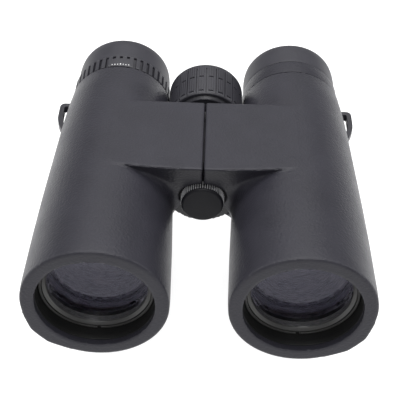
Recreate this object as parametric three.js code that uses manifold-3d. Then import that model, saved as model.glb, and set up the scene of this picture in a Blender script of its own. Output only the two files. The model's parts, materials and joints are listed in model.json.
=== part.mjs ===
import * as THREE from 'three';
import { mergeVertices } from 'three/addons/utils/BufferGeometryUtils.js';
import { ConvexGeometry } from 'three/addons/geometries/ConvexGeometry.js';
import Module from 'manifold-3d';

const wasm = await Module();
wasm.setup();

// Roof-prism binoculars, in millimetres. The objectives face -Y, the eyepieces +Y, and +Z is up.
// Every place along Y is counted from the plane of the objective rims.

// The two barrels
const eyeSpacing = 73; // between the optical axes when the hinge is fully open
const foldAngle = 63; // degrees, from fully open to the narrowest eye spacing
const bodyLength = 115; // objective rim to the end of the armour
const bellRadius = 26.4;
const bellLength = 28;
const middleRadius = 25.2; // beside the front of the bridge
const gripRadius = 23.4; // beside the rear of the bridge
const rearRadius = 21.3;
const rimWidth = 5.2; // flat face round each objective
const armourThickness = 1.6;
const lipThickness = 2.4; // armour folded over the front of the housing
const padHeight = 1.4; // bumper on the lower outer side of each bell
const padLength = 13;
const padEdges = [-68, -49, -31, -12]; // degrees round the barrel, from its inner to its outer edge
const rimBevel = 0.3;
const rimBevelLength = 3;
const bellTaper = 0.5;
const middleSetback = 4; // from the front of the bridge to the middle radius
const rearTaper = 1.1;
const rearTaperLength = 10;

// The bridge and its hinge
const bridgeLength = 44;
const bridgeSetback = 25.7; // from the rear of the bridge to the end of the armour
const bridgeBow = 2.7; // how far its front edge bows forward at the middle
const bridgeLean = 0.33; // how far its front face leans back for each millimetre down
const bridgeStep = 0.15; // its top lies this far below the top of the barrel
const bridgeRise = 0.045; // how much its top rises for each millimetre forward
const bridgeRearLean = 1.5; // how far forward the foot of its rear face is
const bowSteps = 6;
const webHeight = 0.7; // share of the bore radius where its underside meets the barrel
const leftWebAngle = 1.5; // degrees of knuckle that its underside covers, beyond half the fold
const rightWebAngle = 18;
const splitGap = 0.4;
const hingeHeight = 6; // above the optical axes
const frontKnuckleRadius = 15;
const rearKnuckleRadius = 13.2;
const knuckleWall = 8;
const axleRadius = 5.5;
const axleBore = 4;
const axleInset = 2; // from its front to the front of the chamber
const axleStop = 6; // from its rear to the rear of the wheel
const keyReach = axleRadius + 1;
const keyWidth = 1.8;
const bushWall = 0.9;
const washerThickness = 0.8;
const washerWidth = 4.15;
const nutRadius = 8;
const nutLength = 3.4;
const nutSides = 6;

// The focusing drive
const focusTravel = 2.5; // each way
const wheelRadius = 15.3;
const wheelLength = 22;
const wheelSetback = 8.4; // behind the bridge
const gripThickness = 1.7;
const ribDepth = 0.5;
const ribCount = 32;
const ribLand = 0.5; // share of the pitch
const gripInset = [0.6, 1]; // from the front and the rear of the wheel
const wheelChamfer = 1.5;
const wheelEdge = 1;
const wheelCapLength = 1;
const wheelCapInset = 4;
const screwInset = [1, 0.5]; // from the front of the axle and the rear of the wheel
const screwSides = 16;
const screwRadius = 2;
const carriageRadius = 9.2;
const carriageWall = 1.2;
const focusNutLength = 6;
const carriageLength = 7;
const chamberGap = 3; // round the carriage
const armHeight = 5;
const armThickness = 3;
const armBite = 1.7; // how far it reaches into the carriage's groove
const sweepReach = 1.5; // share of the front knuckle's radius
const sweepStep = 5; // degrees
const sweepMargin = [3, 32]; // degrees before and after the fold

// The optics
const boreRadius = 18;
const jointSetback = 9; // from the front tube's joint to the front of the bridge
const spigotLength = 6;
const spigotStep = 1.8;
const seatStep = 1.7; // length of the chamfer in front of the objective's seat
const hoodDepth = 7.4; // objective rim to the retaining ring
const retainerLength = 2;
const retainerWidth = 1.5;
const retainerNotch = 2;
const objectiveRadius = 18.6;
const objectiveLength = 13;
const crownInset = 2; // behind the front of the cell
const crownThickness = 4;
const flintThickness = 2.7;
const crownBulge = [1.4, 1.2]; // front and rear
const flintBulge = [-1.2, -0.5];
const baffleWall = 1.2;
const baffleRibs = 5;
const baffleRibDepth = 0.5;
const baffleRibShare = 0.8; // of the pitch
const focusLensRadius = 14.9;
const focusCellLength = 8;
const focusLensThickness = 4;
const focusLensBulge = [-0.8, -0.8];
const eyeLensBulge = [1, 0.8];
const fieldLensBulge = [1, 1];
const domeSteps = [0, 0.55, 1]; // shares of a lens's radius
const prismHeight = 18.6;
const prismWidth = 14;
const prismSlot = 0.5; // air gap between the two prisms
const prismFrameLength = 21;
const prismStop = 1; // how much shorter the roof prism is than the frame's window
const roofRise = 0.9; // height of its ridge, as a share of half its width
const roofLean = 0.4;

// The eyepieces
const tubeRadius = 16.1;
const tubeWall = 1.2;
const tubeReach = 17.6; // how far the eyepiece tube stands out behind the armour
const camWall = 0.8;
const sleeveWall = 0.8;
const collarRadius = 20.8;
const collarLength = 8.8;
const toothCount = 24;
const toothDepth = 0.7;
const toothLand = 0.62; // share of the pitch
const toothFlank = 0.1;
const collarTaper = 0.4;
const camOverlap = 1; // how far the raised eyecup still reaches over its cam
const eyecupRadius = 20.2;
const eyecupLength = 14.5;
const eyecupTravel = 7;
const eyecupOpening = 13.5;
const eyeLensRadius = 11;
const eyeLensThickness = 4;
const eyeLensInset = 1.2; // behind its rear surface, at the end of the dioptre travel
const fieldLensInset = 5;
const cellLip = 0.8;
const cellReach = 3; // in front of the field lens
const lipDepth = 3.6; // how deep the rolled lip of the eyecup is
const lipCorners = [[0.1, 8.5], [0.7, 2], [1.7, 0.5], [3, 0]]; // inwards from the side, forwards from the rim
const lipInside = [[2, 0], [0.6, 0.6], [0, 2]];
const dioptreTravel = 1.5; // each way

// The tripod socket and its cap
const capRadius = 8.3;
const capLength = 5.1;
const capTeeth = 32;
const capSpigot = 3;
const capThread = 6.2; // length of the spigot inside the socket
const socketRadius = 9.6;
const socketFlange = 1.2;
const socketFloor = 0.7;
const capWasherThickness = 0.7;
const capWasherInset = 1.3;
const capChamfer = [1, 0.9]; // of its front edge, across and along
const capToothDepth = 0.4;
const capToothLand = 0.4; // share of the pitch

// The strap lugs
const lugReach = 3.9; // how far the loop stands out from the armour
const lugLength = 19.2;
const lugThickness = 3.4;
const lugBar = 2.1;
const lugFoot = 3.7; // length of its front foot
const lugInset = 0.6; // from its rear to the end of the armour
const lugStep = 0.4; // how far it stands out where it leaves the armour
const lugShoulder = 0.8; // how far its bend lies inside its outer edge
const lugChamfer = [1.5, 1.2]; // of its rear corner, along and across
const lugBends = [0.28, 0.45]; // shares of its length
const slotBends = [0.4, 0.55];

// Clearances
const fitGap = 0.3; // between pieces that are fixed together
const turnGap = 0.35; // between pieces that turn or slide against each other
const wheelGap = 0.6; // round the focusing wheel
const scoopSetback = 1.5; // in front of the focusing wheel
const endGap = 0.5; // at each end of a travel
const overshoot = 5; // how far a cutting shape runs past what it cuts

// Facets
const barrelSides = 32;
const sides = 20;

// Places worked out from the sizes above
const half = eyeSpacing / 2;
const bridgeRear = bodyLength - bridgeSetback;
const bridgeFront = bridgeRear - bridgeLength;
const bridgeDrop = bellRadius - hingeHeight;
const knuckleFront = bridgeFront + bridgeLean * bridgeDrop + bridgeBow;
const chamberFront = knuckleFront + knuckleWall;
const chamberLength = carriageLength + 2 * (focusTravel + endGap);
const chamberRear = chamberFront + chamberLength;
const carriageMiddle = (chamberFront + chamberRear) / 2;
const innerKnuckleFront = chamberRear + fitGap;
const rearKnuckleRear = bridgeRear - endGap;
const rearKnuckleFront = (innerKnuckleFront + rearKnuckleRear) / 2 + washerThickness;
const innerKnuckleRear = rearKnuckleFront - washerThickness - 2 * turnGap;
const wheelFront = bridgeRear + wheelSetback;
const wheelRear = wheelFront + wheelLength;
const axleFront = knuckleFront + knuckleWall - axleInset;
const axleRear = wheelRear - axleStop;
const tubeJoint = bridgeFront - jointSetback;
const hoodRadius = bellRadius - rimWidth;
const seatRadius = hoodRadius - fitGap;
const cellFront = hoodDepth + retainerLength + fitGap;
const cellRear = cellFront + objectiveLength;
const shoulder = cellRear + fitGap;
const crownFront = cellFront + crownInset;
const crownRear = crownFront + crownThickness;
const flintFront = crownRear + fitGap;
const focusCellFront = carriageMiddle - focusCellLength / 2;
const focusCellRear = carriageMiddle + focusCellLength / 2;
const prismFront = focusCellRear + focusTravel + endGap;
const prismRear = prismFront + prismFrameLength;
const tubeFront = prismRear + fitGap;
const tubeRear = bodyLength + tubeReach;
const collarFront = bodyLength + fitGap;
const collarRear = collarFront + collarLength;
const eyecupFront = collarRear + fitGap;
const eyecupRear = eyecupFront + eyecupLength;
const camRadius = tubeRadius + turnGap + camWall;
const sleeveRadius = camRadius + turnGap + sleeveWall;

const rubber = { color: 0x535257, roughness: 0.75, metalness: 0 };
const grip = { color: 0x333338, roughness: 0.8, metalness: 0 };
const plastic = { color: 0x4a494f, roughness: 0.6, metalness: 0 };
const blackened = { color: 0x141416, roughness: 0.7, metalness: 0.2 };
const casting = { color: 0x2c2c30, roughness: 0.55, metalness: 0.6 };
const steel = { color: 0x8d8f94, roughness: 0.35, metalness: 1 };
const brass = { color: 0xa9884a, roughness: 0.35, metalness: 1 };
const glass = { color: 0x6d7390, roughness: 0.05, metalness: 0 };

// Makes a solid of a closed geometry, with its faces turned outwards.
function toSolid(geometry) {
  geometry.deleteAttribute('normal');
  geometry.deleteAttribute('uv');
  const merged = mergeVertices(geometry);
  const position = merged.attributes.position;
  const index = merged.index.array;
  const corners = [new THREE.Vector3(), new THREE.Vector3(), new THREE.Vector3()];
  const faces = [];
  let volume = 0;
  for (let i = 0; i < index.length; i += 3) {
    const face = [index[i], index[i + 1], index[i + 2]];
    if (new Set(face).size < 3) continue;
    faces.push(...face);
    corners.forEach((corner, j) => corner.fromBufferAttribute(position, face[j]));
    volume += corners[0].dot(corners[1].cross(corners[2]));
  }
  if (volume < 0) faces.reverse();
  return new wasm.Manifold(new wasm.Mesh({
    numProp: 3,
    vertProperties: new Float32Array(position.array),
    triVerts: new Uint32Array(faces),
  }));
}

// Adds a solid to a group as a named mesh.
function addPart(group, name, solid, finish) {
  const mesh = solid.getMesh();
  const geometry = new THREE.BufferGeometry();
  geometry.setAttribute('position', new THREE.BufferAttribute(mesh.vertProperties, 3));
  geometry.setIndex(new THREE.BufferAttribute(mesh.triVerts, 1));
  geometry.computeVertexNormals();
  const part = new THREE.Mesh(geometry, new THREE.MeshStandardMaterial(finish));
  part.name = name;
  group.add(part);
}

// Turns a profile of [radius, y] points about a line along Y through x, z.
function turned(profile, count = sides, x = 0, z = 0) {
  const points = profile.map(([radius, y]) => new THREE.Vector2(radius, y));
  if (profile[0][0] > 0) points.push(points[0].clone());
  const geometry = new THREE.LatheGeometry(points, count);
  geometry.translate(x, 0, z);
  return toSolid(geometry);
}

function disc(radius, from, to, count = sides, x = 0, z = 0) {
  return turned([[0, from], [radius, from], [radius, to], [0, to]], count, x, z);
}

function tube(outer, inner, from, to, count = sides) {
  return turned([[inner, from], [outer, from], [outer, to], [inner, to]], count);
}

function box(x0, x1, y0, y1, z0, z1) {
  const geometry = new THREE.BoxGeometry(Math.abs(x1 - x0), y1 - y0, z1 - z0);
  geometry.translate((x0 + x1) / 2, (y0 + y1) / 2, (z0 + z1) / 2);
  return toSolid(geometry);
}

const alongX = new THREE.Matrix4().makeBasis(
  new THREE.Vector3(0, 1, 0), new THREE.Vector3(0, 0, 1), new THREE.Vector3(1, 0, 0));
const alongY = new THREE.Matrix4().makeBasis(
  new THREE.Vector3(1, 0, 0), new THREE.Vector3(0, 0, 1), new THREE.Vector3(0, 1, 0));
const alongZ = new THREE.Matrix4();

// Extrudes an outline, and any round hole in it, along one axis.
function extruded(outline, from, to, axis, holeRadius = 0) {
  const shape = new THREE.Shape(outline.map(([a, b]) => new THREE.Vector2(a, b)));
  if (holeRadius > 0) {
    const hole = new THREE.Path();
    hole.absarc(0, 0, holeRadius, 0, 2 * Math.PI);
    shape.holes.push(hole);
  }
  const depth = to - from;
  const geometry = new THREE.ExtrudeGeometry(shape, { depth, bevelEnabled: false, curveSegments: sides });
  geometry.translate(0, 0, from);
  geometry.applyMatrix4(axis);
  return toSolid(geometry);
}

// Moves every edge of a closed outline inwards by the same distance.
function inset(outline, distance) {
  const points = outline.map(([a, b]) => new THREE.Vector2(a, b));
  const way = Math.sign(THREE.ShapeUtils.area(points)) * distance;
  const normals = points.map((point, i) => {
    const edge = points[(i + 1) % points.length].clone().sub(point).normalize();
    return new THREE.Vector2(-edge.y, edge.x);
  });
  return points.map((point, i) => {
    const before = normals[(i + points.length - 1) % points.length];
    const scale = way / (1 + before.dot(normals[i]));
    return [point.x + (before.x + normals[i].x) * scale, point.y + (before.y + normals[i].y) * scale];
  });
}

// A closed outline of teeth: each one is a land at the outer radius and a groove below it.
function toothed(radius, depth, count, land) {
  const outline = [];
  for (let i = 0; i < count; i += 1) {
    for (const [share, drop] of [[0, 0], [land, 0], [land + toothFlank, depth], [1 - toothFlank, depth]]) {
      const angle = (i + share) * 2 * Math.PI / count;
      outline.push([(radius - drop) * Math.cos(angle), (radius - drop) * Math.sin(angle)]);
    }
  }
  return outline;
}

// A round lens: each face is a shallow dome, and a negative bulge makes it hollow.
function lens(radius, front, rear, [frontBulge, rearBulge]) {
  const frontFace = domeSteps.map((step) => [radius * step, front - frontBulge * (1 - step * step)]);
  const rearFace = domeSteps.map((step) => [radius * step, rear + rearBulge * (1 - step * step)]);
  return turned([...frontFace, ...rearFace.reverse()]);
}

// Outer outline of the armour, from the objective rim to the rear
const barrelOutline = [
  [0, bellRadius - rimBevel],
  [rimBevelLength, bellRadius],
  [bellLength, bellRadius - bellTaper],
  [bridgeFront + middleSetback, middleRadius],
  [bridgeRear, gripRadius],
  [bodyLength - rearTaperLength, rearRadius + rearTaper],
  [bodyLength, rearRadius],
];

function armourRadius(y) {
  const next = barrelOutline.findIndex(([place]) => place > y);
  if (next < 1) return next === 0 ? barrelOutline[0][1] : rearRadius;
  const [y0, radius0] = barrelOutline[next - 1];
  const [y1, radius1] = barrelOutline[next];
  return radius0 + (radius1 - radius0) * (y - y0) / (y1 - y0);
}

// One half of the bridge, at a given depth below its outer surface, beside the barrel at x = 0.
function bridgeHalf(side, depth) {
  const webAngle = THREE.MathUtils.degToRad(foldAngle / 2 + (side > 0 ? leftWebAngle : rightWebAngle));
  const tall = 2 * bellRadius;
  const across = inset([
    [splitGap / 2, tall],
    [half, tall],
    [half, 0],
    [half - boreRadius, -boreRadius * webHeight],
    [frontKnuckleRadius * Math.sin(webAngle), hingeHeight - frontKnuckleRadius * Math.cos(webAngle)],
    [splitGap / 2, hingeHeight],
  ], depth);
  const lengthwise = inset([
    [bridgeFront - bridgeLength, armourRadius(bridgeFront) - bridgeStep + bridgeLength * bridgeRise],
    [bridgeRear, armourRadius(bridgeRear) - bridgeStep],
    [bridgeRear - bridgeRearLean, -bellRadius],
    [bridgeFront - bridgeLength, -bellRadius],
  ], depth);
  const plan = [[half, bridgeRear + bridgeLength], [0, bridgeRear + bridgeLength]];
  for (let i = 0; i <= bowSteps; i += 1) {
    const share = i / bowSteps;
    plan.push([half * share, bridgeFront + bridgeBow * share * share + depth]);
  }
  const toBarrel = ([x, other]) => [side * (x - half), other];
  const shape = new THREE.Shape(plan.map((point) => new THREE.Vector2(...toBarrel(point))));
  const leaning = new THREE.ExtrudeGeometry(shape, { depth: 3 * bellRadius, bevelEnabled: false });
  leaning.translate(0, 0, -bellRadius);
  const lean = new THREE.Matrix4().set(
    1, 0, 0, 0,
    0, 1, -bridgeLean, bridgeLean * armourRadius(bridgeFront),
    0, 0, 1, 0,
    0, 0, 0, 1,
  );
  leaning.applyMatrix4(lean);
  return toSolid(leaning)
    .intersect(extruded(across.map(toBarrel), bridgeFront - bridgeLength, bridgeRear + overshoot, alongY))
    .intersect(extruded(lengthwise, -half, half, alongX));
}

// A cylinder on the hinge line, seen from the barrel at x = 0
function atHinge(side, radius, from, to) {
  return disc(radius, from, to, barrelSides, -side * half, hingeHeight);
}

// The barrel and its half of the bridge as one solid, at a given depth below the outer surface.
function bodyShape(side, depth, from, to) {
  const places = barrelOutline.map(([place]) => place).filter((place) => place > from && place < to);
  const outline = [from, ...places, to].map((y) => [armourRadius(y) - depth, y]);
  const barrel = turned([[0, from], ...outline, [0, to]], barrelSides);
  const scoopRadius = wheelRadius + wheelGap + depth;
  const scoop = atHinge(side, scoopRadius, wheelFront - scoopSetback - depth, to + overshoot);
  return barrel.add(bridgeHalf(side, depth)).subtract(scoop);
}

// The outline of a strap lug in the plane z = 0, with its feet let into the armour.
const lugRear = bodyLength - lugInset;
const lugFront = lugRear - lugLength;
const lugFootFront = armourRadius(lugFront) - armourThickness;
const lugFootRear = armourRadius(lugRear) - armourThickness;

function lugOutline(side, growth) {
  const outer = armourRadius(lugRear - lugLength / 2) + lugReach;
  return inset([
    [lugFootFront, lugFront],
    [armourRadius(lugFront) + lugStep, lugFront],
    [outer - lugShoulder, lugFront + lugLength * lugBends[0]],
    [outer, lugFront + lugLength * lugBends[1]],
    [outer, lugRear - lugChamfer[0]],
    [outer - lugChamfer[1], lugRear],
    [lugFootRear, lugRear],
  ], -growth).map(([x, y]) => [side * x, y]);
}

function strapLug(side) {
  const outer = armourRadius(lugRear - lugLength / 2) + lugReach;
  const slot = [
    [lugFootRear - lugStep, lugFront + lugFoot],
    [armourRadius(lugFront), lugFront + lugFoot],
    [outer - lugBar - lugStep, lugFront + lugLength * slotBends[0]],
    [outer - lugBar, lugFront + lugLength * slotBends[1]],
    [outer - lugBar, lugRear - lugBar],
    [lugFootRear - lugStep, lugRear - lugBar],
  ].map(([x, y]) => [side * x, y]);
  const loop = extruded(lugOutline(side, 0), -lugThickness / 2, lugThickness / 2, alongZ);
  return loop.subtract(extruded(slot, -lugThickness, lugThickness, alongZ));
}

function armour(side) {
  const opening = disc(hoodRadius, -overshoot, bodyLength, barrelSides);
  const hollow = bodyShape(side, armourThickness, lipThickness, bodyLength + overshoot);
  const padCorner = bellRadius + padHeight;
  const padShoulder = bellRadius - bellTaper;
  const padRadii = [padShoulder, padCorner, padCorner, padShoulder];
  const pad = extruded([
    [0, 0],
    ...padRadii.map((radius, i) => {
      const angle = THREE.MathUtils.degToRad(padEdges[i]);
      return [side * radius * Math.cos(angle), radius * Math.sin(angle)];
    }),
  ], 0, padLength, alongY);
  const padLimit = turned([
    [0, 0],
    [padCorner - rimBevel, 0],
    [padCorner, rimBevelLength],
    [padShoulder - bellTaper, padLength],
    [0, padLength],
  ], barrelSides);
  const feet = extruded(lugOutline(side, fitGap), -lugThickness / 2 - fitGap, lugThickness / 2 + fitGap, alongZ);
  const slotWindow = box(
    side * (lugFootRear - lugStep), side * (bellRadius + 2 * lugReach),
    lugFront + lugFoot + fitGap, lugRear - lugBar - fitGap, -lugThickness, lugThickness);
  return bodyShape(side, 0, 0, bodyLength)
    .add(pad.intersect(padLimit))
    .subtract(opening)
    .subtract(hollow)
    .subtract(feet.subtract(slotWindow))
    .subtract(atHinge(side, socketRadius + fitGap, bridgeFront - overshoot, knuckleFront))
    .subtract(atHinge(side, frontKnuckleRadius + turnGap, knuckleFront - fitGap, bridgeRear + overshoot));
}

// The sector that the right focusing arm sweeps as the hinge folds
function armSweep(side) {
  const fan = [[0, 0]];
  const last = 180 + foldAngle + sweepMargin[1];
  for (let degrees = 180 - sweepMargin[0]; degrees <= last; degrees += sweepStep) {
    const angle = THREE.MathUtils.degToRad(degrees);
    const radius = sweepReach * frontKnuckleRadius;
    fan.push([radius * Math.cos(angle), radius * Math.sin(angle)]);
  }
  const reach = armThickness / 2 + focusTravel + endGap;
  const placed = fan.map(([x, z]) => [x - side * half, z + hingeHeight]);
  return extruded(placed, carriageMiddle - reach, carriageMiddle + reach, alongY);
}

const spigotRadius = armourRadius(tubeJoint) - armourThickness - fitGap - spigotStep;

// The front tube of a barrel, which holds the objective and plugs into the housing
function objectiveTube() {
  const from = lipThickness + fitGap;
  const places = barrelOutline.map(([place]) => place).filter((place) => place > from && place < tubeJoint);
  const outer = [from, ...places, tubeJoint].map((y) => [armourRadius(y) - armourThickness - fitGap, y]);
  return turned([
    [hoodRadius, from],
    ...outer,
    [spigotRadius, tubeJoint],
    [spigotRadius, tubeJoint + spigotLength],
    [boreRadius, tubeJoint + spigotLength],
    [boreRadius, shoulder],
    [seatRadius, shoulder],
    [seatRadius, from + seatStep],
  ], barrelSides);
}

function housing(side) {
  const shell = bodyShape(side, armourThickness + fitGap, tubeJoint + fitGap, bodyLength);
  const bore = turned([
    [0, 0],
    [spigotRadius + fitGap, 0],
    [spigotRadius + fitGap, tubeJoint + spigotLength + fitGap],
    [boreRadius, tubeJoint + spigotLength + fitGap],
    [boreRadius, bodyLength + overshoot],
    [0, bodyLength + overshoot],
  ], barrelSides);
  const reach = armThickness / 2 + focusTravel + endGap;
  const armSlot = box(
    side * (carriageRadius - half), side * (1 - boreRadius),
    carriageMiddle - reach, carriageMiddle + reach,
    hingeHeight - armHeight - 2 * endGap, hingeHeight);
  const ahead = atHinge(side, frontKnuckleRadius + turnGap, bridgeFront - overshoot, knuckleFront);
  const behind = atHinge(side, rearKnuckleRadius + turnGap, rearKnuckleRear, bridgeRear + overshoot);
  if (side > 0) {
    return shell
      .subtract(ahead)
      .subtract(behind)
      .subtract(atHinge(side, frontKnuckleRadius + turnGap, innerKnuckleFront - fitGap, rearKnuckleFront))
      .add(atHinge(side, frontKnuckleRadius, knuckleFront, chamberRear))
      .add(atHinge(side, rearKnuckleRadius, rearKnuckleFront, rearKnuckleRear))
      .subtract(atHinge(side, carriageRadius + chamberGap, chamberFront, innerKnuckleFront))
      .subtract(atHinge(side, axleRadius + fitGap, knuckleFront - 1, bridgeRear + 1))
      .subtract(armSweep(side))
      .subtract(armSlot)
      .subtract(bore);
  }
  return shell
    .subtract(ahead)
    .subtract(behind)
    .subtract(atHinge(side, frontKnuckleRadius + turnGap, knuckleFront - 1, innerKnuckleFront))
    .subtract(atHinge(side, rearKnuckleRadius + turnGap, innerKnuckleRear, bridgeRear))
    .add(atHinge(side, rearKnuckleRadius, innerKnuckleFront, innerKnuckleRear))
    .subtract(atHinge(side, axleRadius + turnGap + bushWall + fitGap, knuckleFront, bridgeRear))
    .subtract(armSlot)
    .subtract(bore);
}

// A threaded ring with a slot on each side for a spanner
function retainer() {
  const ring = turned([
    [seatRadius - retainerWidth, hoodDepth],
    [seatRadius - fitGap, hoodDepth],
    [seatRadius - fitGap, hoodDepth + retainerLength],
    [objectiveRadius + fitGap, hoodDepth + retainerLength],
  ], barrelSides);
  const notch = box(
    -retainerNotch / 2, retainerNotch / 2, 0, hoodDepth + retainerLength / 2, -seatRadius, seatRadius);
  return ring.subtract(notch);
}

function baffle() {
  const outer = boreRadius - fitGap;
  const inner = outer - baffleWall;
  const from = shoulder;
  const to = focusCellFront - focusTravel - endGap;
  const pitch = (to - from) / baffleRibs;
  const profile = [[outer, to], [outer, from]];
  for (let i = 0; i < baffleRibs; i += 1) {
    profile.push([inner - baffleRibDepth, from + i * pitch], [inner, from + (i + baffleRibShare) * pitch]);
  }
  profile.push([inner, to]);
  return turned(profile);
}

// The focusing cell and the arm that reaches through the wall to the carriage
function focusCell(side) {
  const outer = boreRadius - turnGap;
  const cell = tube(outer, focusLensRadius + fitGap, focusCellFront, focusCellRear);
  const arm = box(
    side * (carriageRadius - armBite - half), side * (0.5 - outer),
    carriageMiddle - armThickness / 2, carriageMiddle + armThickness / 2,
    hingeHeight - armHeight - endGap, hingeHeight - endGap);
  return cell.add(arm);
}

function prismFrame() {
  const slot = prismWidth / 2 + fitGap;
  return disc(boreRadius - fitGap, prismFront, prismRear)
    .subtract(box(
      -slot, slot, prismFront - overshoot, prismRear + overshoot, -2 * boreRadius, prismHeight / 2 + prismStop));
}

// Corners of a prism from an outline in the YZ plane
function prismCorners(outline) {
  const width = prismWidth / 2;
  return outline.flatMap(([y, z]) => [new THREE.Vector3(-width, y, z), new THREE.Vector3(width, y, z)]);
}

const prismStart = prismFront + endGap;

function halfPentaPrism() {
  const low = -prismHeight / 2;
  const entry = prismHeight / (1 + Math.SQRT1_2);
  return toSolid(new ConvexGeometry(prismCorners([
    [prismStart, low],
    [prismStart, low + entry * Math.SQRT1_2],
    [prismStart + prismHeight, low + prismHeight],
  ])));
}

function roofPrism() {
  const top = prismHeight / 2 - prismSlot;
  const exit = prismStart + prismHeight + prismSlot;
  const reach = prismHeight - prismSlot - prismStop;
  const ridge = prismWidth / 2 * roofRise;
  const corners = prismCorners([
    [exit, top],
    [exit, top - reach],
    [exit - reach * Math.SQRT1_2, top - reach * Math.SQRT1_2],
  ]);
  corners.push(new THREE.Vector3(0, exit - ridge * roofLean, top - reach - ridge * roofRise));
  corners.push(new THREE.Vector3(
    0, exit - (reach + ridge * roofLean) * Math.SQRT1_2, top - (reach + ridge) * Math.SQRT1_2));
  return toSolid(new ConvexGeometry(corners));
}

function eyepieceTube() {
  return turned([
    [tubeRadius - tubeWall, tubeFront],
    [boreRadius - fitGap, tubeFront],
    [boreRadius - fitGap, bodyLength],
    [tubeRadius, bodyLength],
    [tubeRadius, tubeRear],
    [tubeRadius - tubeWall, tubeRear],
  ]);
}

const cellRadius = tubeRadius - tubeWall - turnGap;
const eyeLensRear = tubeRear - dioptreTravel - eyeLensInset;
const eyeLensFront = eyeLensRear - eyeLensThickness;
const fieldLensFront = tubeFront + dioptreTravel + fieldLensInset;
const fieldLensRear = fieldLensFront + eyeLensThickness;

function eyeCell() {
  return turned([
    [eyeLensRadius + fitGap, fieldLensFront - cellReach],
    [cellRadius, fieldLensFront - cellReach],
    [cellRadius, eyeLensRear + cellLip],
    [(cellRadius + eyeLensRadius) / 2, eyeLensRear + cellLip],
    [eyeLensRadius + fitGap, eyeLensRear - cellLip / 2],
  ]);
}

function eyecupSleeve() {
  return tube(sleeveRadius, camRadius + turnGap, eyecupFront, eyecupRear - lipDepth - fitGap);
}

function eyecupRubber() {
  const inner = sleeveRadius + fitGap;
  return turned([
    [inner, eyecupFront],
    [eyecupRadius, eyecupFront],
    ...lipCorners.map(([inwards, forwards]) => [eyecupRadius - inwards, eyecupRear - forwards]),
    ...lipInside.map(([outwards, forwards]) => [eyecupOpening + outwards, eyecupRear - forwards]),
    [eyecupOpening, eyecupRear - lipDepth],
    [inner, eyecupRear - lipDepth],
  ], barrelSides);
}

const shift = [0, -eyecupRear / 2, bellRadius];
const group = new THREE.Group();
group.position.set(...shift);

for (const side of [1, -1]) {
  const name = side > 0 ? 'left' : 'right';
  const barrel = new THREE.Group();
  barrel.position.x = side * half;
  group.add(barrel);
  addPart(barrel, `${name}_housing`, housing(side), casting);
  addPart(barrel, `${name}_objective_tube`, objectiveTube(), casting);
  addPart(barrel, `${name}_armour`, armour(side), rubber);
  addPart(barrel, `${name}_objective_retainer`, retainer(), blackened);
  const objectiveCell = tube(seatRadius - fitGap, objectiveRadius + fitGap, cellFront, cellRear);
  addPart(barrel, `${name}_objective_cell`, objectiveCell, blackened);
  const crown = lens(objectiveRadius, crownFront, crownRear, crownBulge);
  addPart(barrel, `${name}_crown_lens`, crown, glass);
  const flint = lens(objectiveRadius, flintFront, flintFront + flintThickness, flintBulge);
  addPart(barrel, `${name}_flint_lens`, flint, glass);
  addPart(barrel, `${name}_baffle`, baffle(), blackened);
  addPart(barrel, `${name}_focus_cell`, focusCell(side), blackened);
  const focusLensHalf = focusLensThickness / 2;
  const focusLens = lens(
    focusLensRadius, carriageMiddle - focusLensHalf, carriageMiddle + focusLensHalf, focusLensBulge);
  addPart(barrel, `${name}_focus_lens`, focusLens, glass);
  addPart(barrel, `${name}_prism_frame`, prismFrame(), blackened);
  addPart(barrel, `${name}_half_penta_prism`, halfPentaPrism(), glass);
  addPart(barrel, `${name}_roof_prism`, roofPrism(), glass);
  addPart(barrel, `${name}_eyepiece_tube`, eyepieceTube(), blackened);
  addPart(barrel, `${name}_eye_cell`, eyeCell(), blackened);
  const fieldLens = lens(eyeLensRadius, fieldLensFront, fieldLensRear, fieldLensBulge);
  addPart(barrel, `${name}_field_lens`, fieldLens, glass);
  const eyeLens = lens(eyeLensRadius, eyeLensFront, eyeLensRear - fitGap, eyeLensBulge);
  addPart(barrel, `${name}_eye_lens`, eyeLens, glass);
  const cam = tube(camRadius, tubeRadius + turnGap, bodyLength + fitGap, eyecupFront + eyecupTravel + camOverlap);
  addPart(barrel, `${name}_eyecup_cam`, cam, plastic);
  addPart(barrel, `${name}_eyecup_sleeve`, eyecupSleeve(), plastic);
  addPart(barrel, `${name}_eyecup_rubber`, eyecupRubber(), rubber);
  addPart(barrel, `${name}_strap_lug`, strapLug(side), plastic);
  if (side > 0) {
    const collar = turned([
      [camRadius + turnGap, collarFront],
      [collarRadius, collarFront],
      [collarRadius - collarTaper, collarRear],
      [camRadius + turnGap, collarRear],
    ], barrelSides);
    addPart(barrel, 'left_collar', collar, rubber);
  } else {
    const teeth = toothed(collarRadius, toothDepth, toothCount, toothLand);
    const ring = extruded(teeth, collarFront, collarRear, alongY, camRadius + turnGap);
    addPart(barrel, 'dioptre_ring', ring, grip);
  }
}

const hinge = new THREE.Group();
hinge.position.z = hingeHeight;
group.add(hinge);

const keySlot = keyWidth / 2 + turnGap;
const slotReach = keyWidth / 2 + focusTravel + endGap;
const axle = tube(axleRadius, axleBore, axleFront, axleRear)
  .subtract(box(-keyReach, keyReach, carriageMiddle - slotReach, carriageMiddle + slotReach, -keySlot, keySlot));
addPart(hinge, 'hinge_axle', axle, steel);
const bushRadius = axleRadius + turnGap;
addPart(hinge, 'hinge_bush', tube(bushRadius + bushWall, bushRadius, innerKnuckleFront, innerKnuckleRear), brass);
const washer = tube(bushRadius + washerWidth, bushRadius, innerKnuckleRear + turnGap, rearKnuckleFront - turnGap);
addPart(hinge, 'thrust_washer', washer, brass);
const nutFront = bridgeRear + fitGap;
const nut = turned([
  [0, nutFront],
  [nutRadius, nutFront],
  [nutRadius, nutFront + nutLength],
  [0, nutFront + nutLength],
], nutSides).subtract(disc(axleRadius + fitGap, nutFront - overshoot, nutFront + nutLength + overshoot));
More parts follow.
